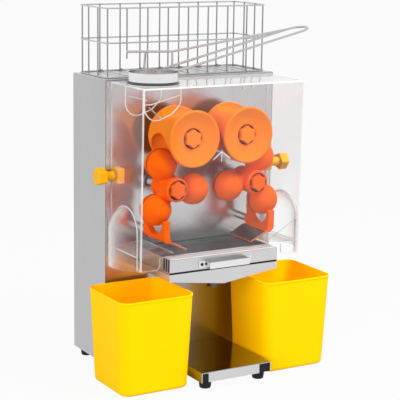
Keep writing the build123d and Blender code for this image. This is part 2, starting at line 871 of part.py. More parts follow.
# Strainer drawer that slides on the tank's rails, its sheet near the top, its front plate and bow handle
drawer_bottom = tank_rim_z + face_gap
drawer_top = drawer_bottom + drawer_height
strainer_z = drawer_top - strainer_drop - drawer_sheet
drawer_half = tank_half_width - drawer_side_gap
drawer_length = tank_forward - drawer_back
with BuildPart() as strainer_drawer:
    with BuildSketch(plan.offset(drawer_bottom)):
        with Locations((0, -drawer_back - drawer_length / 2)):
            Rectangle(2 * drawer_half, drawer_length)
    extrude(amount=drawer_height)
    with BuildSketch(plan.offset(drawer_bottom)):
        with Locations((0, -drawer_back - drawer_length / 2)):
            Rectangle(2 * (drawer_half - drawer_sheet), drawer_length - 2 * drawer_sheet)
    extrude(amount=strainer_z - drawer_bottom, mode=Mode.SUBTRACT)
    with BuildSketch(plan.offset(strainer_z + drawer_sheet)):
        with Locations((0, -drawer_back - drawer_length / 2)):
            Rectangle(2 * (drawer_half - drawer_sheet), drawer_length - 2 * drawer_sheet)
    extrude(amount=drawer_height, mode=Mode.SUBTRACT)
    slot_pitch_x = (2 * drawer_half - 2 * slot_margin) / strainer_slots
    slot_pitch_y = (drawer_length - 2 * slot_margin) / strainer_rows
    with BuildSketch(plan.offset(strainer_z)):
        with Locations((0, -drawer_back - drawer_length / 2)):
            with GridLocations(slot_pitch_x, slot_pitch_y, strainer_slots, strainer_rows):
                SlotOverall(slot_pitch_y - slot_width, slot_width, rotation=90)
    extrude(amount=drawer_sheet, mode=Mode.SUBTRACT)
strainer_drawer.part.label = "strainer_drawer"
export_step(strainer_drawer.part, "parts/strainer_drawer.step")

with BuildPart() as drawer_front:
    with BuildSketch(front.offset(tank_forward)):
        with Locations((0, drawer_bottom + drawer_front_gap)):
            Rectangle(
                2 * tank_half_width, drawer_height - drawer_front_gap, align=(Align.CENTER, Align.MIN))
    extrude(amount=drawer_front_sheet)
    front_edges = drawer_front.faces().sort_by(Axis.Y)[0].edges()
    fillet(front_edges, drawer_front_sheet / 2)
drawer_front.part.label = "drawer_front"
export_step(drawer_front.part, "parts/drawer_front.step")

handle_back = tank_forward + drawer_front_sheet
handle_z = drawer_bottom + drawer_height / 2
half_handle = handle_length / 2
with BuildPart() as drawer_handle:
    with BuildSketch(plan.offset(handle_z - handle_height / 2)):
        with BuildLine() as bow:
            Polyline(
                (-half_handle, -handle_back - handle_strip / 2),
                (handle_foot - half_handle, -handle_back - handle_strip / 2),
                (handle_foot - half_handle + handle_strip, -handle_back - handle_reach + handle_strip / 2),
                (half_handle - handle_foot - handle_strip, -handle_back - handle_reach + handle_strip / 2),
                (half_handle - handle_foot, -handle_back - handle_strip / 2),
                (half_handle, -handle_back - handle_strip / 2))
        trace(line_width=handle_strip)
    extrude(amount=handle_height)
drawer_handle.part.label = "drawer_handle"
export_step(drawer_handle.part, "parts/drawer_handle.step")

# Clear cover: one thin moulding in five nodes that meet face to face, open behind and below
hood_radius = (hood_half_length**2 + hood_bulge**2) / (2 * hood_bulge)
hood_x = cover_half + hood_bulge - hood_radius
inner_half = cover_half - cover_wall
under_top = cover_top - cover_wall
cover_lean = (cover_top_depth - cover_foot_depth) / (cover_top - cover_bottom)


def cover_front_at(z):
    """Forward distance of the cover's leaning front face at a height."""
    return cover_foot_depth + cover_lean * (z - cover_bottom)


def front_wall(low, high):
    """Corners of the cover's front wall between two heights, seen from the side."""
    outer_low = cover_front_at(low)
    outer_high = cover_front_at(high)
    return [
        (outer_low - cover_wall, low), (outer_low, low), (outer_high, high), (outer_high - cover_wall, high)]


def add_hoods(radius, mode):
    """Domed upright hoods, one for each side of the cover, in the current part."""
    for sign in sides.values():
        hood_axis = Axis((sign * hood_x, face_y - hood_forward, 0), (0, 0, 1))
        hood_plane = Plane(origin=hood_axis.position, x_dir=(1, 0, 0), z_dir=(0, -1, 0))
        top = (0, hood_shoulder + radius)
        with BuildSketch(hood_plane) as section:
            with BuildLine():
                Polyline(top, (0, cover_bottom), (radius, cover_bottom), (radius, hood_shoulder))
                RadiusArc((radius, hood_shoulder), top, -radius)
            make_face()
        revolve(section.sketch, axis=hood_axis, mode=mode)


with BuildPart() as cover_front:
    with BuildSketch(profile):
        with BuildLine():
            Polyline(*front_wall(notch_top, cover_top), close=True)
        make_face()
    extrude(amount=cover_half, both=True)
    outer_face = cover_front.faces().sort_by(SortBy.AREA)[-2:].sort_by(Axis.Y)[0]
    fillet(outer_face.edges().sort_by(Axis.Z)[1:], cover_edge_radius)
cover_front.part.label = "cover_front"
export_step(cover_front.part, "parts/cover_front.step")

with BuildPart() as cover_roof:
    with BuildSketch(profile):
        with BuildLine():
            Polyline(
                (face_gap, under_top), (cover_front_at(under_top) - cover_wall, under_top),
                (cover_front_at(cover_top) - cover_wall, cover_top), (face_gap, cover_top), close=True)
        make_face()
    extrude(amount=cover_half, both=True)
    fillet(cover_roof.faces().sort_by(Axis.Z)[-1].edges().filter_by(Axis.Y), cover_edge_radius)
    with BuildSketch(plan.offset(cover_top)):
        with Locations((inlet_x, -inlet_forward)):
            Circle(inlet_radius - inlet_wall)
    extrude(amount=-cover_wall, mode=Mode.SUBTRACT)
cover_roof.part.label = "cover_roof"
export_step(cover_roof.part, "parts/cover_roof.step")

with BuildPart() as cover_sides:
    for sign in sides.values():
        with BuildSketch(axis_plane((sign * cover_half, 0))) as wall:
            with BuildLine():
                Polyline(
                    (face_gap, cover_bottom), (cover_front_at(cover_bottom) - cover_wall, cover_bottom),
                    (cover_front_at(under_top) - cover_wall, under_top), (face_gap, under_top), close=True)
            make_face()
        extrude(wall.sketch, amount=sign * cover_wall)
        with BuildSketch(axis_plane((sign * cover_half, 0))) as tab:
            with BuildLine():
                Polyline(*front_wall(cover_bottom, notch_top), close=True)
            make_face()
        extrude(tab.sketch, amount=sign * (cover_half - notch_half_width))
    inner_corners = cover_sides.edges().filter_by(Axis.Y).filter_by(
        lambda edge: abs(abs(edge.center().X) - notch_half_width) < cover_wall)
    fillet(inner_corners.group_by(Axis.Z)[0], notch_radius)
    add_hoods(hood_radius - hood_wall, Mode.SUBTRACT)
    with BuildSketch(profile) as slot:
        with Locations((catch_forward, catch_z)):
            Circle(catch_stud_radius + slot_fit)
        with Locations((catch_forward / 2, catch_z)):
            Rectangle(catch_forward, 2 * (catch_stud_radius + slot_fit))
    extrude(slot.sketch, amount=cover_width, both=True, mode=Mode.SUBTRACT)
cover_sides.part.label = "cover_sides"
export_step(cover_sides.part, "parts/cover_sides.step")

with BuildPart() as peel_hoods:
    add_hoods(hood_radius, Mode.ADD)
    add_hoods(hood_radius - hood_wall, Mode.SUBTRACT)
    with BuildSketch(plan):
        Rectangle(cover_width, 2 * cover_top_depth)
    extrude(amount=cover_top, mode=Mode.SUBTRACT)
peel_hoods.part.label = "peel_hoods"
export_step(peel_hoods.part, "parts/peel_hoods.step")

# Chute floors under the ejectors, each with a three-cornered cheek along the cover's front
chute_front = cover_front_at(floor_outer_z - floor_sheet) - cover_wall
with BuildPart() as peel_chutes:
    for sign in sides.values():
        edge = sign * inner_half
        lip = sign * floor_inner
        with BuildSketch(front.offset(face_gap)) as chute_floor:
            with BuildLine():
                Polyline(
                    (lip, floor_inner_z), (edge, floor_outer_z), (edge, floor_outer_z - floor_sheet),
                    (lip, floor_inner_z - floor_sheet), close=True)
            make_face()
        extrude(chute_floor.sketch, amount=chute_front - face_gap)
        with BuildSketch(front.offset(chute_front)) as cheek:
            with BuildLine():
                Polyline(
                    (lip, floor_inner_z), (edge, floor_outer_z + cheek_rise),
                    (edge, floor_outer_z - floor_sheet), (lip, floor_inner_z - floor_sheet), close=True)
            make_face()
        extrude(cheek.sketch, amount=-floor_sheet)
peel_chutes.part.label = "peel_chutes"
export_step(peel_chutes.part, "parts/peel_chutes.step")

# Cover catches on the panel, each with a stud, and the lobed knobs that clamp the cover's sides
stud_end = cover_half + grip_neck_length
with BuildPart() as cover_catches:
    for sign in sides.values():
        catch_face = sign * (inner_half - face_gap)
        outward = Plane(origin=(catch_face, face_y, 0), x_dir=(0, sign, 0), z_dir=(sign, 0, 0))
        with BuildSketch(outward) as block:
            with Locations((-sign * catch_length / 2, catch_z)):
                RectangleRounded(catch_length, catch_height, sheet)
        extrude(block.sketch, amount=-catch_thickness)
        with BuildSketch(outward) as stud:
            with Locations((-sign * catch_forward, catch_z)):
                Circle(catch_stud_radius)
        extrude(stud.sketch, amount=stud_end - inner_half + face_gap)
cover_catches.part.label = "cover_catches"
export_step(cover_catches.part, "parts/cover_catches.step")

for side, sign in sides.items():
    knob_plane = Plane(
        origin=(sign * (cover_half + face_gap), face_y - catch_forward, catch_z), x_dir=(0, sign, 0),
        z_dir=(sign, 0, 0))
    with BuildPart() as cover_knob:
        with BuildSketch(knob_plane):
            Circle(grip_neck_radius)
        extrude(amount=grip_neck_length)
        with BuildSketch(knob_plane.offset(grip_neck_length)):
            Circle(grip_radius)
            with PolarLocations(grip_radius + grip_lobe_radius / 2, grip_lobes):
                Circle(grip_lobe_radius, mode=Mode.SUBTRACT)
        extrude(amount=grip_thickness)
        outer_face = cover_knob.faces().sort_by(Axis.X)[-1 if sign > 0 else 0]
        chamfer(outer_face.edges(), knob_dome)
        with BuildSketch(knob_plane):
            Circle(catch_stud_radius + running_fit)
        extrude(amount=grip_neck_length, mode=Mode.SUBTRACT)
    cover_knob.part.label = f"cover_knob_{side}"
    export_step(cover_knob.part, f"parts/cover_knob_{side}.step")

# Inlet collar on the cover, ramp of bent wire and the guide that hangs below
with BuildPart() as inlet_collar:
    with BuildSketch(plan.offset(cover_top)):
        with Locations((inlet_x, -inlet_forward)):
            Circle(inlet_radius)
            Circle(inlet_radius - inlet_wall, mode=Mode.SUBTRACT)
    extrude(amount=inlet_height)
    with BuildSketch(plan.offset(cover_top)):
        with Locations((inlet_x, -inlet_forward)):
            Circle(inlet_radius + inlet_flange)
            Circle(inlet_radius - inlet_wall, mode=Mode.SUBTRACT)
    extrude(amount=inlet_wall)
inlet_collar.part.label = "inlet_collar"
export_step(inlet_collar.part, "parts/inlet_collar.step")

rim_z = cover_top + inlet_height + ramp_wire + weld_gap
rim_radius = inlet_radius - inlet_wall / 2
rail_start_x = inlet_x + math.sqrt(rim_radius**2 - ramp_half_gap**2)
ramp_front = face_y - inlet_forward - ramp_half_gap
ramp_rear = face_y - inlet_forward + ramp_half_gap
ramp_bend = ramp_half_gap - weld_gap
ramp_slope = (ramp_end_z - rim_z) / (ramp_end_x - rail_start_x)
ramp_tip_x = ramp_end_x + ramp_half_gap
ramp_tip_z = rim_z + ramp_slope * (ramp_tip_x - rail_start_x)
guard_z = rim_z + guard_rise
guard_left_y = face_y - inlet_forward + guard_back
guard_slant = (guard_leg_x - guard_left_x) / (guard_turn_x - guard_left_x)
guard_leg_y = guard_left_y + (ramp_rear - guard_left_y) * guard_slant
rim_leg_y = face_y - inlet_forward + math.sqrt(rim_radius**2 - (guard_leg_x - inlet_x)**2)
turn_rail_z = rim_z + ramp_slope * (guard_turn_x - rail_start_x)
with BuildPart() as feed_ramp:
    add_wire([
        (rail_start_x, ramp_front, rim_z), (ramp_tip_x, ramp_front, ramp_tip_z),
        (ramp_tip_x, ramp_rear, ramp_tip_z), (rail_start_x, ramp_rear, rim_z)], ramp_wire, ramp_bend)
    add_wire([
        (guard_left_x, guard_left_y, guard_z), (guard_turn_x, ramp_rear, guard_z),
        (ramp_end_x, ramp_rear, ramp_end_z)], ramp_wire, guard_bend)
    add_wire([
        (guard_leg_x, guard_leg_y, guard_z), (guard_leg_x, rim_leg_y, rim_z - ramp_wire)],
        ramp_wire, guard_bend)
    add_wire([
        (guard_turn_x, ramp_rear, guard_z - weld_bite), (guard_turn_x, ramp_rear, turn_rail_z)],
        ramp_wire, guard_bend)
feed_ramp.part.label = "feed_ramp"
export_step(feed_ramp.part, "parts/feed_ramp.step")

with BuildPart() as guide_cage:
    for forward in (guide_front, guide_back):
        y = face_y - forward
        add_wire([
            (guide_right_x, y, under_top), (guide_right_x, y, guide_right_z), (guide_low_x, y, guide_low_z),
            (guide_left_x, y, guide_left_z), (guide_left_x, y, under_top)], guide_wire, guide_bend)
    cross_front = face_y - guide_front - 2 * guide_wire
    cross_back = face_y - guide_back + 2 * guide_wire
    low_x = (guide_low_x + guide_right_x) / 2
    low_z = (guide_low_z + guide_right_z) / 2
    high_z = (guide_left_z + under_top) / 2
    for x, z in ((low_x, low_z), (guide_left_x, high_z)):
        add_wire([
            (x, cross_front, z - guide_wire), (x, cross_back, z - guide_wire)], guide_wire, guide_bend)
guide_cage.part.label = "guide_cage"
export_step(guide_cage.part, "parts/guide_cage.step")

# Fruit basket: three wire rings, upright wires and a floor of cross wires
ring_front = face_y + basket_front
ring_back = face_y + basket_back
ring_halfway = (ring_front + ring_back) / 2
ring_low = cab_top + basket_wire
ring_high = cab_top + basket_height - basket_wire
ring_middle = (ring_low + ring_high) / 2
upright_shift = 2 * basket_wire - weld_bite
bay = 2 * basket_half_width / basket_bays
side_bay = (basket_back - basket_front) / basket_side_bays
upright_low = cab_top + weld_gap
upright_high = ring_high + weld_bite
floor_z = ring_low + upright_shift
corner_inset = basket_bend * (1 - math.sqrt(0.5)) + upright_shift * math.sqrt(0.5)
with BuildPart() as wire_basket:
    for level in (ring_low, ring_middle, ring_high):
        for y in (ring_front, ring_back):
            add_wire([
                (-basket_half_width, ring_halfway, level), (-basket_half_width, y, level),
                (basket_half_width, y, level), (basket_half_width, ring_halfway, level)],
                basket_wire, basket_bend)
    for number in range(1, basket_bays):
        x = number * bay - basket_half_width
        front_low = cab_top + short_wire_rise if number == 1 else upright_low
        for y, low in ((ring_front + upright_shift, front_low), (ring_back - upright_shift, upright_low)):
            add_wire([(x, y, low), (x, y, upright_high)], basket_wire, basket_bend)
        floor_x = x + upright_shift
        add_wire([
            (floor_x, ring_front - weld_bite, floor_z), (floor_x, ring_back + weld_bite, floor_z)],
            basket_wire, basket_bend)
    for sign in sides.values():
        side_x = sign * (basket_half_width - upright_shift)
        corner_x = sign * (basket_half_width - corner_inset)
        for number in range(1, basket_side_bays):
            y = ring_front + number * side_bay
            add_wire([(side_x, y, upright_low), (side_x, y, upright_high)], basket_wire, basket_bend)
        for y in (ring_front + corner_inset, ring_back - corner_inset):
            add_wire([(corner_x, y, upright_low), (corner_x, y, upright_high)], basket_wire, basket_bend)
wire_basket.part.label = "wire_basket"
export_step(wire_basket.part, "parts/wire_basket.step")

# Peel bins: tapered tubs with a turned rim
for side, sign in sides.items():
    bin_x = sign * (bin_inner_x + bin_width / 2)
    bin_y = -bin_back_gap - bin_depth / 2
    tub_width = bin_width - 2 * bin_lip
    tub_depth = bin_depth - 2 * bin_lip
    draft = math.degrees(math.atan2(bin_taper, bin_height))
    with BuildPart() as peel_bin:
        with BuildSketch(plan.offset(bin_height)):
            with Locations((bin_x, bin_y)):
                RectangleRounded(tub_width, tub_depth, bin_corner)
        extrude(amount=-bin_height, taper=draft)
        with BuildSketch(plan.offset(bin_height)):
            with Locations((bin_x, bin_y)):
                RectangleRounded(bin_width, bin_depth, bin_corner + bin_lip)
        extrude(amount=-bin_lip_height)
        with BuildSketch(plan.offset(bin_height)):
            with Locations((bin_x, bin_y)):
                RectangleRounded(tub_width - 2 * bin_wall, tub_depth - 2 * bin_wall, bin_corner - bin_wall)
        extrude(amount=bin_wall - bin_height, taper=draft, mode=Mode.SUBTRACT)
    peel_bin.part.label = f"peel_bin_{side}"
    export_step(peel_bin.part, f"parts/peel_bin_{side}.step")

# Electrics: control box, power socket in the rear cover, rocker switch in the right side
with BuildPart() as control_box:
    with BuildSketch(plan.offset(cab_bottom + sheet)):
        with Locations((control_x, cab_depth / 2)):
            RectangleRounded(control_width, control_depth, bearing_plate_corner / 2)
    extrude(amount=control_height)
control_box.part.label = "control_box"
export_step(control_box.part, "parts/control_box.step")

socket_place = (inlet_socket_x, inlet_socket_z)
with BuildPart() as power_socket:
    with BuildSketch(front.offset(-rear_plane)):
        with Locations(socket_place):
            RectangleRounded(socket_width + 2 * socket_flange, socket_height + socket_flange, socket_wall)
    extrude(amount=-rear_inset / 2)
    with BuildSketch(front.offset(-rear_plane)):
        with Locations(socket_place):
            Rectangle(socket_width, socket_height)
    extrude(amount=socket_depth)
    with BuildSketch(front.offset(-rear_plane - rear_inset / 2)):
        with Locations(socket_place):
            RectangleRounded(socket_width - 2 * socket_wall, socket_height - 2 * socket_wall, socket_wall)
    extrude(amount=socket_depth - socket_wall + rear_inset / 2, mode=Mode.SUBTRACT)
    with BuildSketch(front.offset(pin_inset - rear_plane)):
        with Locations(socket_place):
            with Locations((-pin_pitch, -pin_thickness), (0, pin_thickness), (pin_pitch, -pin_thickness)):
                Rectangle(pin_thickness, pin_width)
    extrude(amount=socket_depth - pin_inset - socket_wall / 2)
power_socket.part.label = "power_socket"
export_step(power_socket.part, "parts/power_socket.step")

switch_middle = (cab_width / 2, face_y + switch_back, switch_z)
switch_plane = Plane(origin=switch_middle, x_dir=(0, 1, 0), z_dir=(1, 0, 0))
well_width = switch_width - 2 * switch_rim
well_height = switch_height - 2 * switch_rim
with BuildPart() as switch_housing:
    with BuildSketch(switch_plane):
        RectangleRounded(switch_width + 2 * switch_rim, switch_height + 2 * switch_rim, switch_rim)
    extrude(amount=switch_rim_proud)
    with BuildSketch(switch_plane):
        Rectangle(switch_width - 2 * seat_fit, switch_height - 2 * seat_fit)
    extrude(amount=-switch_depth)
    with BuildSketch(switch_plane.offset(switch_rim_proud)):
        Rectangle(well_width, well_height)
    extrude(amount=-switch_rim_proud - switch_depth + switch_rim, mode=Mode.SUBTRACT)
    with BuildSketch(Plane(origin=switch_middle, x_dir=(1, 0, 0), z_dir=(0, -1, 0))):
        with Locations((-switch_rim, 0)):
            Circle(rocker_pin_radius)
    extrude(amount=well_width / 2 + switch_rim / 2, both=True)
switch_housing.part.label = "switch_housing"
export_step(switch_housing.part, "parts/switch_housing.step")

tilt_across, tilt_up = round_point(1, rocker_tilt)
rocker_plane = Plane(
    origin=(switch_middle[0] - switch_rim, switch_middle[1], switch_z),
    x_dir=(tilt_across, 0, tilt_up), z_dir=(0, -1, 0))
rocker_crest = switch_rim + switch_rim_proud
rocker_half = math.sqrt((well_height / 2 - rocker_gap)**2 - rocker_crest**2)
with BuildPart() as switch_rocker:
    with BuildSketch(rocker_plane):
        with BuildLine():
            Polyline(
                (rocker_crest, -rocker_half), (rocker_crest - rocker_hollow, 0),
                (rocker_crest, rocker_half), (0, rocker_half), (-2 * rocker_pin_radius, 0),
                (0, -rocker_half), close=True)
        make_face()
        Circle(rocker_pin_radius + running_fit, mode=Mode.SUBTRACT)
    extrude(amount=well_width / 2 - rocker_gap, both=True)
switch_rocker.part.label = "switch_rocker"
export_step(switch_rocker.part, "parts/switch_rocker.step")

# Screws on the front panel
with BuildPart() as panel_screws:
    with BuildSketch(front):
        with Locations(*[(x, panel_screw_z) for x in panel_screw_x]):
            Circle(screw_radius)
    extrude(amount=screw_head)
panel_screws.part.label = "panel_screws"
export_step(panel_screws.part, "parts/panel_screws.step")
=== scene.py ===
"""Looks of an electric orange juicer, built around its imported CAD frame."""

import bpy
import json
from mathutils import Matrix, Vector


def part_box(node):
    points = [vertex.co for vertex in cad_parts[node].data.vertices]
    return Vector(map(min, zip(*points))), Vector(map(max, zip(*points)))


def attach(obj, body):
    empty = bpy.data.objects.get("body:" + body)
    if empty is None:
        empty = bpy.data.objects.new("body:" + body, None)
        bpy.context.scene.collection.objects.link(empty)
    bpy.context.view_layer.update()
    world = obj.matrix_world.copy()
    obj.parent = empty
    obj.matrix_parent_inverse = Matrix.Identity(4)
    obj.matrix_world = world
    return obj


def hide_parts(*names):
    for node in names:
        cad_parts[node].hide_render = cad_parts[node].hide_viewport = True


bl_info = {
    "name": "Electric Orange Juicer",
    "version": (1, 0, 0),
    "blender": (4, 5, 0),
    "location": "View3D > Sidebar > Juicer",
    "description": "Dresses the packed juicer with its finished pieces, materials and stage",
    "category": "Object",
}

import json
import math

import bmesh
import bpy
from bpy.props import FloatProperty, FloatVectorProperty, IntProperty, PointerProperty
from mathutils import Matrix, Vector

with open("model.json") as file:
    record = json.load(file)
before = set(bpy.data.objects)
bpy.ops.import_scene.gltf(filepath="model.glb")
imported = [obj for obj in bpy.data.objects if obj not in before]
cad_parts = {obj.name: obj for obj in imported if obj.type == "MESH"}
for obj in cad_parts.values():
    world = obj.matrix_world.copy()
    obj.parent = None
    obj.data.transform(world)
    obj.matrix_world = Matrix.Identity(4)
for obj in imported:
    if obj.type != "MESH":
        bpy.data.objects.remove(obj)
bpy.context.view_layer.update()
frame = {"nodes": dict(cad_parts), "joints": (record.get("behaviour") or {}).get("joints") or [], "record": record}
NODES = frame["nodes"]
JOINTS = {joint["name"]: joint for joint in frame["joints"]}
SIDES = {"left": -1, "right": 1}
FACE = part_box("front_panel")[0].y
FORWARD = Vector((0, -1, 0))
RIGHT = Vector((1, 0, 0))
UP = Vector((0, 0, 1))
WHITE = (1, 1, 1, 1)
# Distance at which two vertices are one
WELD = 1e-6
# Least part of a face's normal along an axis that the face looks along
FACING = 0.9
# Most finishes on one piece
MOST_FINISHES = 3
# Balls or cups round each of the press's shafts
PRESS_COUNT = 3


def length(name, default, description):
    """Size property in metres."""
    return FloatProperty(
        name=name, default=default, description=description, unit="LENGTH", min=0, precision=5)


def angle(name, default, description):
    """Angle property, written in degrees."""
    return FloatProperty(
        name=name, default=math.radians(default), description=description, subtype="ANGLE")


def colour(name, default, description):
    """Colour property."""
    return FloatVectorProperty(
        name=name, default=default, description=description, subtype="COLOR", min=0, max=1)


def count(name, default, description):
    """Whole number property."""
    return IntProperty(name=name, default=default, description=description, min=1)


def amount(name, default, description, unit="NONE"):
    """Plain number property, with a unit where one fits."""
    return FloatProperty(name=name, default=default, description=description, unit=unit)


class JuicerSizes(bpy.types.PropertyGroup):
    """Sizes that the finished pieces add to the frame's own."""

    sheet: length("Sheet", 0.002, "Thickness of the cabinet's sheet steel")
    sheet_edge: length("Sheet edge", 0.0004, "Softness of a sheet's cut edge")
    cabinet_bend: length("Cabinet bend", 0.004, "Bend radius of the cabinet's top edges")
    plate_flange: length("Plate flange", 0.036, "Width of the flange under the base plate")
    tab_left: length("Left tab gap", 0.015, "Gap on the left of the base plate's front tab")
    tab_right: length("Right tab gap", 0.027, "Gap on the right of the base plate's front tab")
    foot_radius: length("Foot radius", 0.014, "Radius of a rubber foot")
    foot_inset: length("Foot inset", 0.02, "From a foot's middle to the edge above it")
    foot_height: length("Foot height", 0.017, "Height of a rubber foot")
    foot_edge: length("Foot edge", 0.0006, "Softness of a rubber foot's edges")
    foot_block: length("Foot block", 0.024, "Depth of the base plate's gap for a foot's block")
    screw_radius: length("Screw radius", 0.0035, "Radius of a small screw's head")
    screw_height: length("Screw height", 0.0018, "Height of a small screw's head")
    moulded_grain: length("Moulded grain", 0.0012, "Grain of the remesh that rounds moulded edges")
    bore_radius: length("Bore radius", 0.01, "Radius of the holes on the shafts")
    recess_gap: length("Recess gap", 0.0011, "Room round a star knob in its recess")
    press_phase: angle("Press phase", 40, "Turn of the press past the point where ball meets cup")
    drum_radius: length("Drum radius", 0.0605, "Outer radius of a cup drum")
    drum_edge: length("Drum edge", 0.002, "Softness of a drum's outer edge")
    drum_rim: length("Drum rim", 0.004, "Width of the flat rim round a drum's face")
    drum_dish: length("Drum dish", 0.009, "Depth of the dish in a drum's face")
    drum_recess: length("Drum recess", 0.02, "Depth of the recess in a drum's face")
    cup_radius: length("Cup radius", 0.042, "Radius of a drum's cup")
    hub_radius: length("Hub radius", 0.026, "Radius of a rotor's hub")
    hub_half: length("Hub half length", 0.035, "Half the length of a rotor's hub")
    hub_edge: length("Hub edge", 0.003, "Softness of a hub's edge")
    hub_recess: length("Hub recess", 0.012, "Depth of the recess in a hub's face")
    ball_radius: length("Ball radius", 0.034, "Radius of a rotor's ball")
    ball_seam: length("Ball seam", 0.0017, "Half the width of the groove round a ball")
    neck_radius: length("Neck radius", 0.019, "Radius of the arm under a ball")
    star_notch: length("Star notch", 0.005, "Depth of the notches round a grip")
    star_dome: length("Star dome", 0.0014, "Slope round the top of a grip")
    star_proud: length("Star proud", 0.003, "How far a drum's star knob stands out past its frame")
    star_edge: length("Star edge", 0.0008, "Softness of a grip's edges")
    grip_neck: length("Grip neck", 0.021, "Length of the neck under a cover grip")
    grip_stem: length("Grip stem", 0.0098, "Radius of the neck under a cover grip")
    cover_wall: length("Cover wall", 0.0035, "Thickness of the clear cover")
    cover_lean: length("Cover lean", 0.008, "How far the cover's front leans out towards the top")
    cover_edge: length("Cover edge", 0.003, "Radius of the cover's moulded edges")
    hood_wall: length("Hood wall", 0.003, "Thickness of a peel hood")
    hood_bead: length("Hood bead", 0.0013, "Radius of the bead between a hood and the cover's side")
    notch_half: length("Notch half width", 0.15, "Half the width of the cover's front notch")
    notch_radius: length("Notch radius", 0.01, "Radius of the lower corners beside the notch")
    chute_lip: length("Chute lip", 0.117, "From the middle to the inner edge of a chute floor")
    chute_fall: length("Chute fall", 0.006, "How far a chute floor drops outwards")
    chute_sheet: length("Chute sheet", 0.003, "Thickness of a chute floor")
    slot_radius: length("Slot radius", 0.0044, "Half the height of a slot for a catch's stud")
    collar_wall: length("Collar wall", 0.002, "Thickness and flange of the inlet collar")
    # Painted shade: the dark band round the inlet collar's foot
    collar_painted_shade: amount("Collar foot", 0.3, "Dark share of the inlet collar's height")
    guide_wire: length("Guide wire", 0.0015, "Radius of the hanging guide's wire")
    guide_bend: length("Guide bend", 0.024, "Bend radius of the hanging guide's hoops")
    basket_wire: length("Basket wire", 0.0016, "Radius of the basket's wire")
    basket_bend: length("Basket bend", 0.014, "Bend radius of the basket's rings")
    basket_short: length("Short wire", 0.04, "Height where the basket's one short upright starts")
    weld_bite: length("Weld bite", 0.001, "Depth to which crossing wires are welded")
    basket_bays: count("Basket bays", 8, "Bays along the basket's length")
    basket_side_bays: count("Basket side bays", 3, "Bays across the basket")
    spout_length: length("Spout length", 0.016, "How far the spout hangs below the tank")
    drawer_sheet: length("Drawer sheet", 0.0015, "Thickness of the strainer drawer's sheet")
    strainer_drop: length("Strainer drop", 0.008, "From the drawer's rim down to its strainer")
    strainer_lip: length("Strainer lip", 0.036, "Width of the holed lip behind the drawer's front")
    hole_radius: length("Hole radius", 0.0017, "Radius of a strainer hole")
    hole_columns: count("Hole columns", 44, "Strainer holes across the drawer")
    hole_rows: count("Hole rows", 23, "Strainer holes along the drawer")
    lip_rows: count("Lip rows", 2, "Rows of slots in the strainer's lip")
    lip_stretch: count("Lip stretch", 4, "Length of a slot in the lip over its width")
    end_strips: count("End strips", 3, "Black strips at each end of the drawer")
    end_pitch: length("End pitch", 0.01, "Step of the strips at an end of the drawer")
    end_strip: length("End strip", 0.003, "Width of a strip at an end of the drawer")
    bin_wall: length("Bin wall", 0.0025, "Thickness of a peel bin's wall")
    bin_taper: length("Bin taper", 0.008, "How far a bin's walls lean in on each side")
    bin_corner: length("Bin corner", 0.024, "Radius of a bin's upright corners")
    bin_floor: length("Bin floor edge", 0.008, "Radius round a bin's floor")
    bin_lip: length("Bin lip", 0.0008, "How far a bin's rim stands out")
    bin_lip_height: length("Bin lip height", 0.004, "Height of a bin's rim")


class JuicerColours(bpy.types.PropertyGroup):
    """Colours of the finishes."""

    steel: colour("Steel", (0.52, 0.52, 0.525), "Brushed stainless sheet")
    panel: colour("Panel steel", (0.66, 0.65, 0.65), "Sheet of the front panel and the base plate")
    # On the cabinet's top the tray steel is painted light
    tray: colour("Tray steel", (0.7, 0.7, 0.705), "Tank and drawer front")
    bright: colour("Bright steel", (0.88, 0.88, 0.88), "Polished stainless steel")
    # Wire is a darker copy of the rod's steel: painted reflection of dark surroundings on the basket's uprights
    # and the ejector wedges
    wire: colour("Wire", (0.36, 0.36, 0.365), "Drawn wire of the basket's uprights")
    rod: colour("Rod", (0.6, 0.6, 0.605), "Wire of the ramp and of the basket's rings and floor")
    # Painted shade: a dark steel on the strainer's sheet, the tank's spout and the collar's foot, where shade
    # falls
    screen: colour("Screen", (0.12, 0.12, 0.125), "Wet sheet of the strainer")
    lip: colour("Lip", (0.8, 0.8, 0.81), "Slotted lip of the strainer")
    aluminium: colour("Aluminium", (0.62, 0.62, 0.63), "Milled aluminium")
    # Drum orange and orange are lit and shaded copies of one plastic: the drum's lighter tone is painted sheen on
    # its flat faces, and the deeper orange is painted shade
    drum: colour("Drum orange", (1.0, 0.245, 0.012), "Cup drums and their knobs")
    orange: colour("Orange", (1.0, 0.134, 0.0), "Ball rotors, their knobs and the ejectors")
    # Painted shade: a dark orange in the balls' grooves and in the recesses round the knobs
    seam: colour("Seam", (0.3, 0.025, 0.0), "Grooves round the balls and recesses round the knobs")
    yellow: colour("Yellow", (1.0, 0.64, 0.0), "Peel bins")
    grip: colour("Grip", (1.0, 0.48, 0.0), "Catches and grips of the cover")
    clear: colour("Clear", (0.99, 0.991, 0.991), "Tint of light through the cover")
    # Painted highlight: a milky white on the cover's cut faces, narrow rounds and beads, for the light their edges
    # catch
    edge: colour("Clear edge", (0.8, 0.805, 0.81), "Cut and rounded edges of the cover")
    black: colour("Black", (0.016, 0.016, 0.017), "Small black plastics")
    # The rubber also paints shade in the gaps of the drawer
    rubber: colour("Rubber", (0.014, 0.014, 0.015), "Feet and seals")
    paint: colour("Paint", (0.26, 0.27, 0.28), "Motor, gearbox and control box")


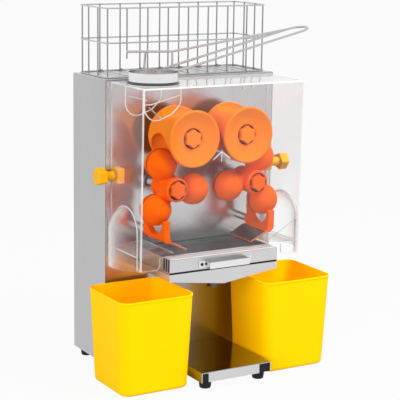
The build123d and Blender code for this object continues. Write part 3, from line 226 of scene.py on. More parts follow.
class JuicerStage(bpy.types.PropertyGroup):
    """Camera and light."""

    azimuth: angle("Azimuth", -30.5, "Direction of the camera round the machine")
    elevation: angle("Elevation", 11.6, "Height of the camera above the horizon")
    roll: angle("Roll", 0.86, "Lean of the picture")
    distance: length("Distance", 2.915, "From the camera to its target")
    target: FloatVectorProperty(
        name="Target", default=(-0.0319, -0.0706, 0.3834), subtype="TRANSLATION",
        description="Point that the camera looks at")
    lens: amount("Lens", 123.5, "Focal length in millimetres", "CAMERA")
    sensor: amount("Sensor", 36, "Sensor width in millimetres", "CAMERA")
    ambient: amount("Ambient", 0.38, "Strength of the even light")
    key: amount("Key", 150, "Power of the main lamp in watts", "POWER")
    fill: amount("Fill", 56, "Power of the side lamp in watts", "POWER")
    backdrop: amount("Backdrop", 0.97, "Strength of the even light where it is seen")
    floor_white: amount("Floor white", 0.95, "Share of plain white in what is seen of the floor")


class Shade:
    """One shader socket; sums on it add Math nodes to its graph."""

    def __init__(self, graph, socket):
        self.graph = graph
        self.socket = socket

    def math(self, operation, *values):
        """Math node on sockets and numbers."""
        return self.graph.out("ShaderNodeMath", {"operation": operation}, dict(enumerate(values)))

    def __add__(self, other):
        return self.math("ADD", self, other)

    def __sub__(self, other):
        return self.math("SUBTRACT", self, other)

    def __rsub__(self, other):
        return self.math("SUBTRACT", other, self)

    def __mul__(self, other):
        return self.math("MULTIPLY", self, other)

    def __pow__(self, other):
        return self.math("POWER", self, other)

    def __rpow__(self, other):
        return self.math("POWER", other, self)

    __radd__ = __add__
    __rmul__ = __mul__


class Graph:
    """The nodes of a material or of the world."""

    def __init__(self, owner):
        owner.use_nodes = True
        self.owner = owner
        self.tree = owner.node_tree
        self.tree.nodes.clear()

    def node(self, kind, settings=None, inputs=None):
        """Add a node, set what it is, then fill or link its sockets."""
        node = self.tree.nodes.new(kind)
        for key, value in (settings or {}).items():
            setattr(node, key, value)
        for key, value in (inputs or {}).items():
            if isinstance(value, Shade):
                self.tree.links.new(value.socket, node.inputs[key])
            else:
                node.inputs[key].default_value = value
        return node

    def out(self, kind, settings=None, inputs=None, output=0):
        """Add a node and wrap one of its outputs."""
        return Shade(self, self.node(kind, settings, inputs).outputs[output])

    def place(self, scale=(1, 1, 1)):
        """Object coordinates, stretched."""
        coordinates = self.out("ShaderNodeTexCoord", output="Object")
        return self.out("ShaderNodeMapping", None, {"Vector": coordinates, "Scale": scale})

    def noise(self, scale, detail=3.0, stretch=(1, 1, 1)):
        """Cloudy noise from 0 to 1."""
        return self.out(
            "ShaderNodeTexNoise", None,
            {"Vector": self.place(stretch), "Scale": scale, "Detail": detail}, "Fac")

    def fade(self, axis, slope, start):
        """Share from 0 to 1 that changes along an axis: slope for each metre, start at 0."""
        along = self.out("ShaderNodeSeparateXYZ", None, {"Vector": self.place()}, axis)
        return self.out(
            "ShaderNodeMath", {"operation": "MULTIPLY_ADD", "use_clamp": True},
            {0: along, 1: slope, 2: start})

    def tint(self, factor, first, second):
        """Colour between two colours."""
        return self.out(
            "ShaderNodeMix", {"data_type": "RGBA"},
            {"Factor": factor, 6: (*first, 1), 7: (*second, 1)}, 2)

    def bump(self, height, strength, distance=0.0002):
        """Surface normal from a height."""
        return self.out(
            "ShaderNodeBump", None, {"Height": height, "Strength": strength, "Distance": distance})

    def seen_rays(self):
        """1 for the camera's rays and for what metal or glass shows of them."""
        path = self.node("ShaderNodeLightPath")
        camera, glossy, transmission = (
            Shade(self, path.outputs[f"Is {kind} Ray"])
            for kind in ("Camera", "Glossy", "Transmission"))
        total = camera + glossy + transmission
        return total.math("MINIMUM", total, 1.0)

    def mixed(self, factor, first, second):
        """Shader between two shaders."""
        return self.out("ShaderNodeMixShader", None, {0: factor, 1: first, 2: second})

    def principled(self, inputs):
        """Principled shader."""
        return self.out("ShaderNodeBsdfPrincipled", None, inputs)

    def finish(self, shader, output="ShaderNodeOutputMaterial"):
        """Send a shader to the output."""
        self.node(output, None, {"Surface": shader})
        return self.owner


def new_graph(name):
    """Graph of a new material."""
    return Graph(bpy.data.materials.new(name))


def darker(shade, share):
    """A colour scaled towards black."""
    return tuple(channel * share for channel in shade)


def brushed_steel(name, shade, grain, roughness, brush=0.05, smear=0.0, painted_foot_shade=0.0):
    """Sheet steel brushed along the grain's small axis.

    Smear draws out what the sheet mirrors, and the foot shade darkens the sheet towards its foot as painted shade.
    """
    graph = new_graph(name)
    lines = graph.noise(1.0, detail=4.0, stretch=grain)
    clouds = graph.noise(7.0, detail=2.0)
    # Painted shade: the sheet turns darker towards the bottom, fully below 0.186 m. The brush lines and clouds are
    # its own wear and share the same darker colour
    low = graph.fade("Z", slope=-14.0, start=3.6)
    wear_and_painted_shade = lines * 0.1 + clouds * 0.08 + low * painted_foot_shade
    worn_and_shaded = darker(shade, 0.4)
    return graph.finish(graph.principled({
        "Base Color": graph.tint(wear_and_painted_shade, shade, worn_and_shaded),
        "Metallic": 1.0,
        "Roughness": (lines - 0.5) * (3 * brush) + (clouds - 0.5) * 0.06 + roughness,
        "Anisotropic": smear,
        "Anisotropic Rotation": 0.25,
        "Normal": graph.bump(lines, brush)}))


def polished_steel(name, shade, roughness):
    """Bright steel with faint drawing marks."""
    graph = new_graph(name)
    marks = graph.noise(900.0)
    clouds = graph.noise(25.0, detail=2.0)
    dull = darker(shade, 0.84)
    return graph.finish(graph.principled({
        "Base Color": graph.tint(clouds, dull, shade),
        "Metallic": 1.0,
        "Roughness": clouds * 0.08 + marks * 0.05 + roughness,
        "Normal": graph.bump(marks, 0.04)}))


def milled_metal(name, shade):
    """Machined aluminium with ring marks."""
    graph = new_graph(name)
    rings = graph.out(
        "ShaderNodeTexWave", {"wave_type": "RINGS", "rings_direction": "Y"},
        {"Vector": graph.place(), "Scale": 220.0, "Distortion": 1.5, "Detail": 2.0}, "Fac")
    groove = darker(shade, 0.9)
    return graph.finish(graph.principled({
        "Base Color": graph.tint(rings, groove, shade),
        "Metallic": 1.0,
        "Roughness": rings * 0.12 + 0.3,
        "Normal": graph.bump(rings, 0.05)}))


def moulded_plastic(name, shade, roughness, grain, gloss, painted_glow):
    """Moulded plastic, a little uneven, with a fine skin; glow is painted light, as if through thin walls."""
    graph = new_graph(name)
    clouds = graph.noise(14.0)
    skin = graph.noise(grain, detail=2.0)
    deep = darker(shade, 0.93)
    red, green, blue = shade
    return graph.finish(graph.principled({
        "Base Color": graph.tint(clouds, deep, shade),
        "Roughness": clouds * 0.1 + skin * 0.06 + roughness,
        "Specular IOR Level": gloss,
        # Painted light: an amber emission that makes the plastic glow
        "Emission Color": (red, green * 0.42, blue, 1),
        "Emission Strength": painted_glow,
        "Normal": graph.bump(skin, 0.05, 0.0003)}))


def clear_plastic(name, shade, body, haze, rim, veil=0.0, spread=4.0):
    """Clear plastic with a thin haze.

    Seen at a slant it turns white by the rim's share, the sooner the lower the spread, as painted
    reflection. The veil is a faint mirror all over but not near the left side, cut off there by place.
    """
    graph = new_graph(name)
    clouds = graph.noise(9.0, detail=2.0)
    slant = graph.out("ShaderNodeLayerWeight", None, {"Blend": 0.5}, "Facing") ** spread
    through = graph.out("ShaderNodeBsdfTransparent", None, {"Color": (*shade, 1)})
    white = graph.principled({"Base Color": (*body, 1), "Roughness": clouds * 0.1 + 0.2})
    gloss = graph.out("ShaderNodeBsdfGlossy", None, {"Color": WHITE, "Roughness": 0.03})
    # The haze is the plastic's own; the white at a slant is painted reflection
    haze_and_slant_white = slant * rim + clouds * haze + haze
    # Painted reflection: the veil's mirror fades out towards the left side by place, not by light
    mirror = slant * 0.5 + graph.fade("X", slope=25.0, start=3.5) * veil
    return graph.finish(graph.mixed(mirror, graph.mixed(haze_and_slant_white, through, white), gloss))


def make_materials():
    """Every finish by name."""
    palette = bpy.context.scene.juicer_colours
    colours = {name: tuple(getattr(palette, name)) for name in JuicerColours.__annotations__}
    clear, edge = colours["clear"], colours["edge"]
    along_z, along_x = (900, 900, 14), (14, 900, 900)
    made = {
        # The panel's foot shade is painted shade on its lower part, below the tank
        "panel": brushed_steel(
            "panel_steel", colours["panel"], along_x, 0.24, brush=0.003, smear=0.5, painted_foot_shade=0.75),
        "milled": milled_metal("milled_aluminium", colours["aluminium"]),
        # The clear finishes paint reflection as white at a slant; the edge finish is milky all over, a painted
        # highlight
        "clear": clear_plastic(
            "clear_plastic", clear, darker(edge, 0.65), haze=0.002, rim=0.85, veil=0.025),
        "edge": clear_plastic("clear_edge", edge, edge, haze=0.42, rim=0.3),
        "hood": clear_plastic("clear_hood", clear, edge, haze=0.01, rim=1.0, spread=2.5),
    }
    for key, shade, grain, roughness in (
            ("cabinet", colours["steel"], along_z, 0.3),
            # Painted reflection: the base plate's steel is darkened to half, for the dark that it mirrors from
            # under the tank
            ("base", darker(colours["panel"], 0.5), along_x, 0.12),
            ("tray", colours["tray"], along_x, 0.32),
            ("strainer", colours["steel"], along_x, 0.28),
            ("screen", colours["screen"], along_x, 0.3)):
        made[key] = brushed_steel(f"{key}_steel", shade, grain, roughness)
    for key, roughness in (("bright", 0.1), ("wire", 0.14), ("rod", 0.12)):
        made[key] = polished_steel(f"{key}_steel", colours[key], roughness)
    for key, name, roughness, grain, gloss, painted_glow in (
            ("drum", "drum_plastic", 0.34, 700.0, 0.05, 0.0),
            ("orange", "orange_plastic", 0.34, 700.0, 0.05, 0.0),
            ("seam", "orange_seam", 0.5, 700.0, 0.08, 0.0),
            ("yellow", "yellow_plastic", 0.4, 500.0, 0.05, 0.2),
            ("grip", "grip_plastic", 0.34, 500.0, 0.2, 0.0),
            ("lip", "lip_plastic", 0.4, 600.0, 0.5, 0.0),
            ("rubber", "black_rubber", 0.6, 900.0, 0.25, 0.0),
            ("black", "black_plastic", 0.36, 800.0, 0.5, 0.0),
            ("paint", "grey_paint", 0.38, 420.0, 0.5, 0.0)):
        made[key] = moulded_plastic(name, colours[key], roughness, grain, gloss, painted_glow)
    return made


MATERIALS = {}


def finish_of(name):
    """A finish, made with the others at its first use."""
    if not MATERIALS:
        MATERIALS.update(make_materials())
    return MATERIALS[name]


def sizes():
    """The scene's size properties."""
    return bpy.context.scene.juicer_sizes


def pivot(joint):
    """Place of a joint."""
    return Vector(JOINTS[joint]["pos_m"])


def linked(name, data):
    """New object in the scene."""
    made = bpy.data.objects.new(name, data)
    bpy.context.scene.collection.objects.link(made)
    return made


def mesh_of(name, shape):
    """Mesh of a bmesh, which is freed."""
    mesh = bpy.data.meshes.new(name)
    shape.to_mesh(mesh)
    shape.free()
    return mesh


def temporary(shape):
    """Object that holds a bmesh while modifiers work on it."""
    mesh = mesh_of("temporary", shape)
    for _ in range(MOST_FINISHES):
        mesh.materials.append(None)
    return linked("temporary", mesh)


def evaluated(holder):
    """Bmesh of an object with its modifiers applied; the object is removed."""
    depsgraph = bpy.context.evaluated_depsgraph_get()
    depsgraph.update()
    mesh = bpy.data.meshes.new_from_object(holder.evaluated_get(depsgraph))
    shape = bmesh.new()
    shape.from_mesh(mesh)
    bpy.data.objects.remove(holder)
    bpy.data.meshes.remove(mesh)
    return shape


def combined(shape, tools, operation):
    """A bmesh joined with others or cut by them."""
    for tool in tools:
        holder = temporary(shape)
        helper = temporary(tool)
        boolean = holder.modifiers.new("combine", "BOOLEAN")
        boolean.operation = operation
        boolean.solver = "EXACT"
        boolean.object = helper
        shape = evaluated(holder)
        bpy.data.objects.remove(helper)
    return shape


def softened(shape, smoothing, share):
    """A closed bmesh remeshed and smoothed, so that its edges are moulded round."""
    holder = temporary(shape)
    remesh = holder.modifiers.new("skin", "REMESH")
    remesh.mode = "VOXEL"
    remesh.voxel_size = sizes().moulded_grain
    smooth = holder.modifiers.new("smooth", "SMOOTH")
    smooth.iterations = smoothing
    thin = holder.modifiers.new("thin", "DECIMATE")
    thin.ratio = share
    return evaluated(holder)


def marked(shape, test=None, finish=1, rest=0):
    """A bmesh with a finish's number on the faces that pass a test, or on all; others get rest."""
    for face in shape.faces:
        face.material_index = finish if test is None or test(face) else rest
    return shape


def piece(name, shape, finishes, body, nodes=(), bevel=0.0, sharp=35):
    """Make a finished piece of a bmesh: finishes, soft edges, its body and the nodes it shows."""
    for face in shape.faces:
        face.smooth = True
    for edge in shape.edges:
        edge.smooth = bevel > 0 or edge.calc_face_angle(0) < math.radians(sharp)
    made = linked(name, mesh_of(name, shape))
    for finish in finishes.split():
        made.data.materials.append(finish_of(finish))
    if bevel:
        edges = made.modifiers.new("edges", "BEVEL")
        edges.width = bevel
        edges.segments = 2
        edges.limit_method = "ANGLE"
        edges.angle_limit = math.radians(sharp)
        made.modifiers.new("normals", "WEIGHTED_NORMAL")
    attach(made, body)
    if nodes:
        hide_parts(*nodes)


def welded(shape):
    """A bmesh with its seams and poles closed and its faces turned outwards."""
    bmesh.ops.remove_doubles(shape, verts=shape.verts, dist=WELD)
    bmesh.ops.recalc_face_normals(shape, faces=shape.faces)
    return shape


def verts_of(geometry):
    """The vertices in what an operator gives back."""
    return [item for item in geometry if isinstance(item, bmesh.types.BMVert)]


def turned(outline, centre, axis=FORWARD, closed=False, steps=96):
    """Bmesh of an outline of (along, radius) points spun about an axis through a centre."""
    shape = bmesh.new()
    axis = Vector(axis)
    across = axis.orthogonal().normalized()
    points = [shape.verts.new(Vector(centre) + axis * along + across * radius)
              for along, radius in outline]
    ends = points[1:] + points[:1] if closed else points[1:]
    edges = [shape.edges.new(pair) for pair in zip(points, ends)]
    bmesh.ops.spin(
        shape, geom=points + edges, cent=centre, axis=axis, angle=math.tau, steps=steps,
        use_merge=True)
    return welded(shape)


def bar(start, end, radius, centre, axis=FORWARD, steps=96):
    """Bmesh of a round bar from start to end along an axis through a centre."""
    return turned(
        [(start, 0), (start, radius), (end, radius), (end, 0)], centre, axis, steps=steps)


def block(low, high):
    """Bmesh of a box between two corners."""
    shape = bmesh.new()
    low = Vector(low)
    high = Vector(high)
    bmesh.ops.create_cube(shape, size=1)
    bmesh.ops.scale(shape, vec=high - low, verts=shape.verts)
    bmesh.ops.translate(shape, vec=(low + high) / 2, verts=shape.verts)
    return shape


def prism(points, step):
    """Bmesh of a flat outline pushed along a step."""
    shape = bmesh.new()
    face = shape.faces.new([shape.verts.new(point) for point in points])
    pushed = bmesh.ops.extrude_face_region(shape, geom=[face], use_keep_orig=True)["geom"]
    bmesh.ops.translate(shape, vec=step, verts=verts_of(pushed))
    bmesh.ops.recalc_face_normals(shape, faces=shape.faces)
    return shape


def arc(centre, radius, start, end, steps):
    """Points of an arc in a plane, its angles in degrees."""
    turns = [math.radians(start + (end - start) * step / steps) for step in range(steps + 1)]
    return [(centre[0] + radius * math.cos(turn), centre[1] + radius * math.sin(turn))
            for turn in turns]


def ball(centre, radius, steps):
    """Bmesh of a sphere."""
    shape = bmesh.new()
    bmesh.ops.create_uvsphere(
        shape, u_segments=steps, v_segments=steps // 2, radius=radius,
        matrix=Matrix.Translation(centre))
    return shape


def bevel_edges(shape, edges, offset, segments):
    """Round chosen edges."""
    bmesh.ops.bevel(
        shape, geom=edges, offset=offset, segments=segments, profile=0.5, affect="EDGES",
        material=-1)


def bent_points(points, bend, closed):
    """Bezier points of a bent wire: (place, handle before, handle after) with round corners."""
    last_index = len(points) - 1
    made = []
    for index, point in enumerate(points):
        if not closed and index in (0, last_index):
            made.append((point, point, point))
            continue
        back = (points[index - 1] - point).normalized()
        ahead = (points[(index + 1) % len(points)] - point).normalized()
        turn = math.pi - back.angle(ahead)
        reach = bend * math.tan(turn / 2)
        handle = bend * 4 / 3 * math.tan(turn / 4)
        first = point + back * reach
        last = point + ahead * reach
        made.append((first, first, first - back * handle))
        made.append((last, last - ahead * handle, last))
    return made


def wires(routes, radius):
    """Bmesh of round wires; a route is (points, bend, closed)."""
    curve = bpy.data.curves.new("wires", "CURVE")
    curve.dimensions = "3D"
    curve.bevel_depth = radius
    curve.bevel_resolution = 4
    curve.resolution_u = 6
    curve.use_fill_caps = True
    for points, bend, closed in routes:
        bent = bent_points([Vector(point) for point in points], bend, closed)
        spline = curve.splines.new("BEZIER")
        spline.bezier_points.add(len(bent) - 1)
        spline.use_cyclic_u = closed
        for knot, (place, before, after) in zip(spline.bezier_points, bent):
            knot.handle_left_type = knot.handle_right_type = "FREE"
            knot.co = place
            knot.handle_left = before
            knot.handle_right = after
    shape = evaluated(linked("wires", curve))
    bpy.data.curves.remove(curve)
    return welded(shape)


def joined(shapes):
    """One bmesh that holds several separate ones."""
    whole = bmesh.new()
    for shape in shapes:
        mesh = mesh_of("part", shape)
        whole.from_mesh(mesh)
        bpy.data.meshes.remove(mesh)
    return whole


def node_copy(node):
    """Bmesh copy of a CAD node, its loose triangles merged."""
    shape = bmesh.new()
    shape.from_mesh(NODES[node].data)
    bmesh.ops.remove_doubles(shape, verts=shape.verts, dist=WELD)
    return shape


def flattened(shape):
    """A node's copy with its flat triangles dissolved into whole faces."""
    bmesh.ops.dissolve_limit(
        shape, angle_limit=math.radians(1), verts=shape.verts, edges=shape.edges)
    return shape


def screw_heads(places, axis, radius, height):
    """Bmesh of small domed screw heads with a cross slot, each seated on its place."""
    shoulder, flat = height * 0.5, radius * 0.6
    slot_floor, slot_top, half_length, half_width = 0.55, 1.2, 0.5, 0.1
    across = axis.orthogonal().normalized()
    heads = []
    for place in places:
        seat = Vector(place)
        head = turned(
            [(0, 0), (0, radius), (shoulder, radius), (height, flat), (height, 0)], seat, axis,
            steps=24)
        for arm in (across, axis.cross(across)):
            reach = arm * radius * half_length
            width = axis.cross(arm) * radius * half_width
            low = seat + axis * height * slot_floor - reach - width
            high = seat + axis * height * slot_top + reach + width
            slot = block(Vector(map(min, low, high)), Vector(map(max, low, high)))
            head = combined(head, [slot], "DIFFERENCE")
        heads.append(head)
    return joined(heads)


def lower_to_upper(side):
    """Direction from a lower shaft to the upper one, seen from the front, and half the way."""
    step = pivot(f"upper_{side}_turn") - pivot(f"lower_{side}_turn")
    return math.atan2(step.z, step.x), step.length / 2


def round_the_shaft(start):
    """Unit vectors to the balls or cups that stand evenly round a shaft."""
    turns = [start + number * math.tau / PRESS_COUNT for number in range(PRESS_COUNT)]
    return [RIGHT * math.cos(turn) + UP * math.sin(turn) for turn in turns]


def recess_radius(knob):
    """Radius of the recess that takes a star knob."""
    low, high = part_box(knob)
    return (high.z - low.z) / 2 + sizes().recess_gap


def star(centre, axis, start, radius, points, height):
    """Bmesh of a star grip: pointed outline with soft tips, raised and sloped at the top."""
    notch, dome = sizes().star_notch, sizes().star_dome
    soft_tip = radius * 0.16
    shape = bmesh.new()
    made = bmesh.ops.create_circle(shape, cap_ends=True, segments=2 * points, radius=radius)
    ring = sorted(made["verts"], key=lambda v: math.atan2(v.co.y, v.co.x))
    for corner in ring[::2]:
        corner.co *= (radius - notch) / radius
    bmesh.ops.bevel(
        shape, geom=ring, offset=soft_tip, segments=5, profile=0.5, affect="VERTICES", material=-1)
    top = list(shape.faces)
    for lift, shrink in ((height - dome, 0), (dome, dome / radius)):
        raised = bmesh.ops.extrude_face_region(shape, geom=top)["geom"]
        verts = verts_of(raised)
        bmesh.ops.translate(shape, vec=(0, 0, lift), verts=verts)
        bmesh.ops.scale(shape, vec=(1 - shrink, 1 - shrink, 1), verts=verts)
        if shrink:
            bmesh.ops.delete(shape, geom=top, context="FACES_ONLY")
        top = [item for item in raised if isinstance(item, bmesh.types.BMFace)]
    bmesh.ops.rotate(
        shape, cent=(0, 0, 0), matrix=Matrix.Rotation(start, 3, "Z"), verts=shape.verts)
    turn = Vector(axis).to_track_quat("Z", "Y").to_matrix().to_4x4()
    bmesh.ops.transform(shape, matrix=Matrix.Translation(centre) @ turn, verts=shape.verts)
    bmesh.ops.recalc_face_normals(shape, faces=shape.faces)
    return shape


class JUICER_OT_frame_finishes(bpy.types.Operator):
    """Give every CAD node its finish"""

    bl_idname = "juicer.frame_finishes"
    bl_label = "Frame finishes"

    by_slot = {
        "steel": "panel", "bright_steel": "bright", "wire": "wire", "aluminium": "milled",
        "orange_plastic": "orange", "yellow_plastic": "yellow", "clear_plastic": "clear",
        "black_rubber": "rubber", "black_plastic": "black", "grey_paint": "paint"}
    by_node = {
        "rear_cover": "cabinet", "cabinet_floor": "cabinet", "drawer_front": "tray",
        "shaft_seals": "milled", "ejector_wedge_left": "wire", "ejector_wedge_right": "wire"}

    def execute(self, context):
        for part in frame["record"]["subparts"]:
            node = NODES[part["node"]]
            finish = self.by_node.get(part["node"], self.by_slot[part["material_slot"]])
            node.data.materials.clear()
            node.data.materials.append(finish_of(finish))
        return {"FINISHED"}


class JUICER_OT_cabinet(bpy.types.Operator):
    """Fold the cabinet's shell and its base plate, set the rubber feet and the panel's screws"""

    bl_idname = "juicer.cabinet"
    bl_label = "Cabinet"

    # Points of a foot's outline, in shares of its height and its radius
    foot_outline = ((0, 0), (0, 0.82), (0.12, 0.88), (0.75, 0.97), (0.82, 1), (1, 1), (1, 0))

    def shell(self, size):
        """Sheet folded over both sides, with a hole for the switch and a top in the lighter tray steel as painted
        light.
        """
        low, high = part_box("cabinet_shell")
        sheet = size.sheet
        shape = block(low, high)
        bends = [edge for edge in shape.edges if all(v.co.z > high.z - sheet for v in edge.verts)
                 and abs(edge.verts[0].co.x - edge.verts[1].co.x) < sheet]
        bevel_edges(shape, bends, size.cabinet_bend, segments=6)
        inside = block(
            low + Vector((sheet, -sheet, -sheet)), high + Vector((-sheet, sheet, -sheet)))
        switch_low, switch_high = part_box("switch_housing")
        rim = 1.5 * sheet
        hole = block(
            (high.x - 2 * sheet, switch_low.y + rim, switch_low.z + rim),
            (high.x + sheet, switch_high.y - rim, switch_high.z - rim))
        shape = combined(shape, [inside, hole], "DIFFERENCE")
        # Painted light: the top faces take the lighter tray steel, for the light that falls on them from above
        marked(shape, lambda face: face.normal.z > FACING)
        piece("shell", shape, "cabinet tray", "machine", ["cabinet_shell"],
              bevel=size.sheet_edge)

    def tab_gaps(self, size):
        """Left and right ends of the two gaps beside the base plate's front tab."""
        low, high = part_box("base_plate")
        left, right = low.x + size.sheet, high.x - size.sheet
        return (left, left + size.tab_left), (right - size.tab_right, right)

    def base(self, size):
        """Folded plate with a flange below, a front tab between two gaps, and its front in tray steel; the rest is
        darkened steel, a painted reflection.
        """
        low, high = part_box("base_plate")
        sheet, flange = size.sheet, size.plate_flange
        shape = block(low, high)
        folds = [edge for edge in shape.edges if all(v.co.z > high.z - sheet for v in edge.verts)
                 and min(v.co.y for v in edge.verts) < high.y - sheet]
        bevel_edges(shape, folds, sheet, segments=4)
        inset = Vector((sheet, sheet, sheet))
        cuts = [block(low + inset, high - inset), block(
            low + Vector((flange, flange, -sheet)),
            (high.x - flange, high.y - flange, low.z + 2 * sheet))]
        for left, right in self.tab_gaps(size):
            cuts.append(block(
                (left, low.y - sheet, low.z - sheet),
                (right, low.y + size.foot_block, high.z - sheet)))
        shape = combined(shape, cuts, "DIFFERENCE")
        # The front faces take the tray steel; the rest keeps the darkened base steel, which is painted reflection
        marked(shape, lambda face: face.normal.y < -FACING)
        piece("base", shape, "base tray", "machine", ["base_plate"],
              bevel=size.sheet_edge)

    def feet(self, size):
        """Six feet, two of them under blocks in the gaps of the base plate."""
        low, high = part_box("rubber_feet")
        plate_low, plate_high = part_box("base_plate")
        radius, height, inset = size.foot_radius, size.foot_height, size.foot_inset
        outline = [(along * height, across * radius) for along, across in self.foot_outline]
        places = [(x, plate_low.y + inset) for x in (plate_low.x + inset, plate_high.x - inset)]
        places += [(x, y) for x in (low.x + radius, high.x - radius)
                   for y in (FACE + inset, high.y - radius)]
        parts = [turned(outline, (x, y, 0), UP, steps=32) for x, y in places]
        for left, right in self.tab_gaps(size):
            parts.append(block(
                (left, plate_low.y + size.sheet, height),
                (right, plate_low.y + size.foot_block - size.sheet, high.z)))
        piece("feet", joined(parts), "rubber", "machine", ["rubber_feet"],
              bevel=size.foot_edge)

    def screws(self, size):
        """The front panel's two screw heads."""
        low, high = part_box("panel_screws")
        radius = (high.z - low.z) / 2
        middle = (low.z + high.z) / 2
        places = [(x, high.y, middle) for x in (low.x + radius, high.x - radius)]
        shape = screw_heads(places, FORWARD, radius, high.y - low.y)
        piece("panel_screw_heads", shape, "bright", "machine", ["panel_screws"],
              sharp=30)

    def execute(self, context):
        for make in (self.shell, self.base, self.feet, self.screws):
            make(sizes())
        return {"FINISHED"}


class JUICER_OT_drums(bpy.types.Operator):
    """Mould the cup drums"""

    bl_idname = "juicer.drums"
    bl_label = "Cup drums"

    dish_steps = 8

    def drum(self, size, side, sign):
        """Spun drum with a dished face, a recess for its knob, and cups round its middle."""
        radius, edge, bore = size.drum_radius, size.drum_edge, size.bore_radius
        low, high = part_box(f"cup_drum_{side}")
        centre = pivot(f"upper_{side}_turn")
        centre.y = high.y
        depth = high.y - low.y
        seat = depth - size.drum_recess
        recess = recess_radius(f"drum_knob_{side}")
        rim = radius - size.drum_rim
        dish = [(depth - size.drum_dish * math.sin(step * math.pi / (2 * self.dish_steps)),
                 rim + (recess - rim) * step / self.dish_steps)
                for step in range(self.dish_steps + 1)]
        shape = turned([
            (0, bore), (0, radius - edge), (edge, radius), (depth - edge, radius),
            (depth, radius - edge), *dish, (seat, recess), (seat, bore)],
            centre, closed=True, steps=144)
        up, circle = lower_to_upper(side)
        start = up + math.pi + sign * size.press_phase
        middle = centre + FORWARD * depth / 2
        cups = [ball(middle + outward * circle, size.cup_radius, steps=96)
                for outward in round_the_shaft(start)]
        shape = softened(combined(shape, cups, "DIFFERENCE"), smoothing=8, share=0.35)
        mouth = depth - size.drum_dish - edge

        # Painted shade: faces in the recess round the knob take the dark seam finish
        def in_recess(face):
            spot = face.calc_center_median() - centre
            return math.hypot(spot.x, spot.z) < recess and -spot.y < mouth

        piece(f"drum_{side}", marked(shape, in_recess), "drum seam", f"upper_{side}",
              [f"cup_drum_{side}"], sharp=60)

    def execute(self, context):
        for side, sign in SIDES.items():
            self.drum(sizes(), side, sign)
        return {"FINISHED"}


class JUICER_OT_rotors(bpy.types.Operator):
    """Mould the ball rotors"""

    bl_idname = "juicer.rotors"
    bl_label = "Ball rotors"

    def bulb(self, size, centre):
        """Ball with a groove round its middle, the groove's bottom painted dark as shade."""
        radius, seam = size.ball_radius, size.ball_seam
        shift = math.degrees(seam / radius)
        points = arc((0, 0), radius, 180, 90 + shift, steps=20)
        points += [(-seam / 2, radius - seam), (seam / 2, radius - seam)]
        points += arc((0, 0), radius, 90 - shift, 0, steps=20)
        # Painted shade: the groove's deep faces take the dark seam finish
        return marked(
            turned(points, centre, steps=64),
            lambda face: (face.calc_center_median() - centre).length < radius - seam / 4)

    def rotor(self, size, side, sign):
        """Hub with balls on short arms, a recess for its knob and a bore for its shaft."""
        half, radius, edge, bore = size.hub_half, size.hub_radius, size.hub_edge, size.bore_radius
        neck = size.neck_radius
        low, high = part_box(f"ball_rotor_{side}")
        up, circle = lower_to_upper(side)
        start = up - sign * size.press_phase
        middle = pivot(f"lower_{side}_turn")
        middle.y = (low.y + high.y) / 2
        shape = turned([
            (-half, bore), (-half, radius), (half - edge, radius), (half, radius - edge),
            (half, bore)], middle, closed=True, steps=72)
        parts = []
        for outward in round_the_shaft(start):
            parts.append(self.bulb(size, middle + outward * circle))
            parts.append(bar(neck, circle, neck, middle, outward, steps=48))
        shape = combined(shape, parts, "UNION")
        seat = half - size.hub_recess
        recess = bar(seat, 2 * half, recess_radius(f"rotor_knob_{side}"), middle, steps=72)
        hole = bar(-2 * half, half, bore, middle, steps=72)
        # Painted shade: the recess's faces take the dark seam finish
        shape = combined(shape, [marked(recess), hole], "DIFFERENCE")
        piece(f"rotor_{side}", shape, "orange seam", f"lower_{side}",
              [f"ball_rotor_{side}"], sharp=30)

    def execute(self, context):
        for side, sign in SIDES.items():
            self.rotor(sizes(), side, sign)
        return {"FINISHED"}


class JUICER_OT_star_knobs(bpy.types.Operator):
    """Make the star knobs that hold the drums and rotors"""

    bl_idname = "juicer.star_knobs"
    bl_label = "Star knobs"

    points = 6
    start = math.radians(30)

    def execute(self, context):
        size = sizes()
        for row, finish, proud in (("drum", "drum", size.star_proud), ("rotor", "orange", 0)):
            for side in SIDES:
                node = f"{row}_knob_{side}"
                low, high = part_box(node)
                centre = (low + high) / 2
                centre.y = high.y
                shape = star(
                    centre, FORWARD, self.start, (high.z - low.z) / 2, self.points,
                    high.y - low.y + proud)
                piece(f"{row}_star_{side}", shape, finish, node, [node],
                      bevel=size.star_edge)
        return {"FINISHED"}


class JUICER_OT_ejectors(bpy.types.Operator):
    """Mould the forked peel ejectors on their steel pins"""

    bl_idname = "juicer.ejectors"
    bl_label = "Peel ejectors"

    def ejector(self, size, side):
        """Moulded fork, with a steel pin behind its wedge."""
        shape = softened(node_copy(f"peel_ejector_{side}"), smoothing=6, share=0.3)
        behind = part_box(f"ejector_wedge_{side}")[1].y + size.sheet
        marked(shape, lambda face: face.calc_center_median().y > behind)
        piece(f"ejector_{side}", shape, "orange bright", "machine",
              [f"peel_ejector_{side}"], sharp=60)

    def execute(self, context):
        for side in SIDES:
            self.ejector(sizes(), side)
        return {"FINISHED"}


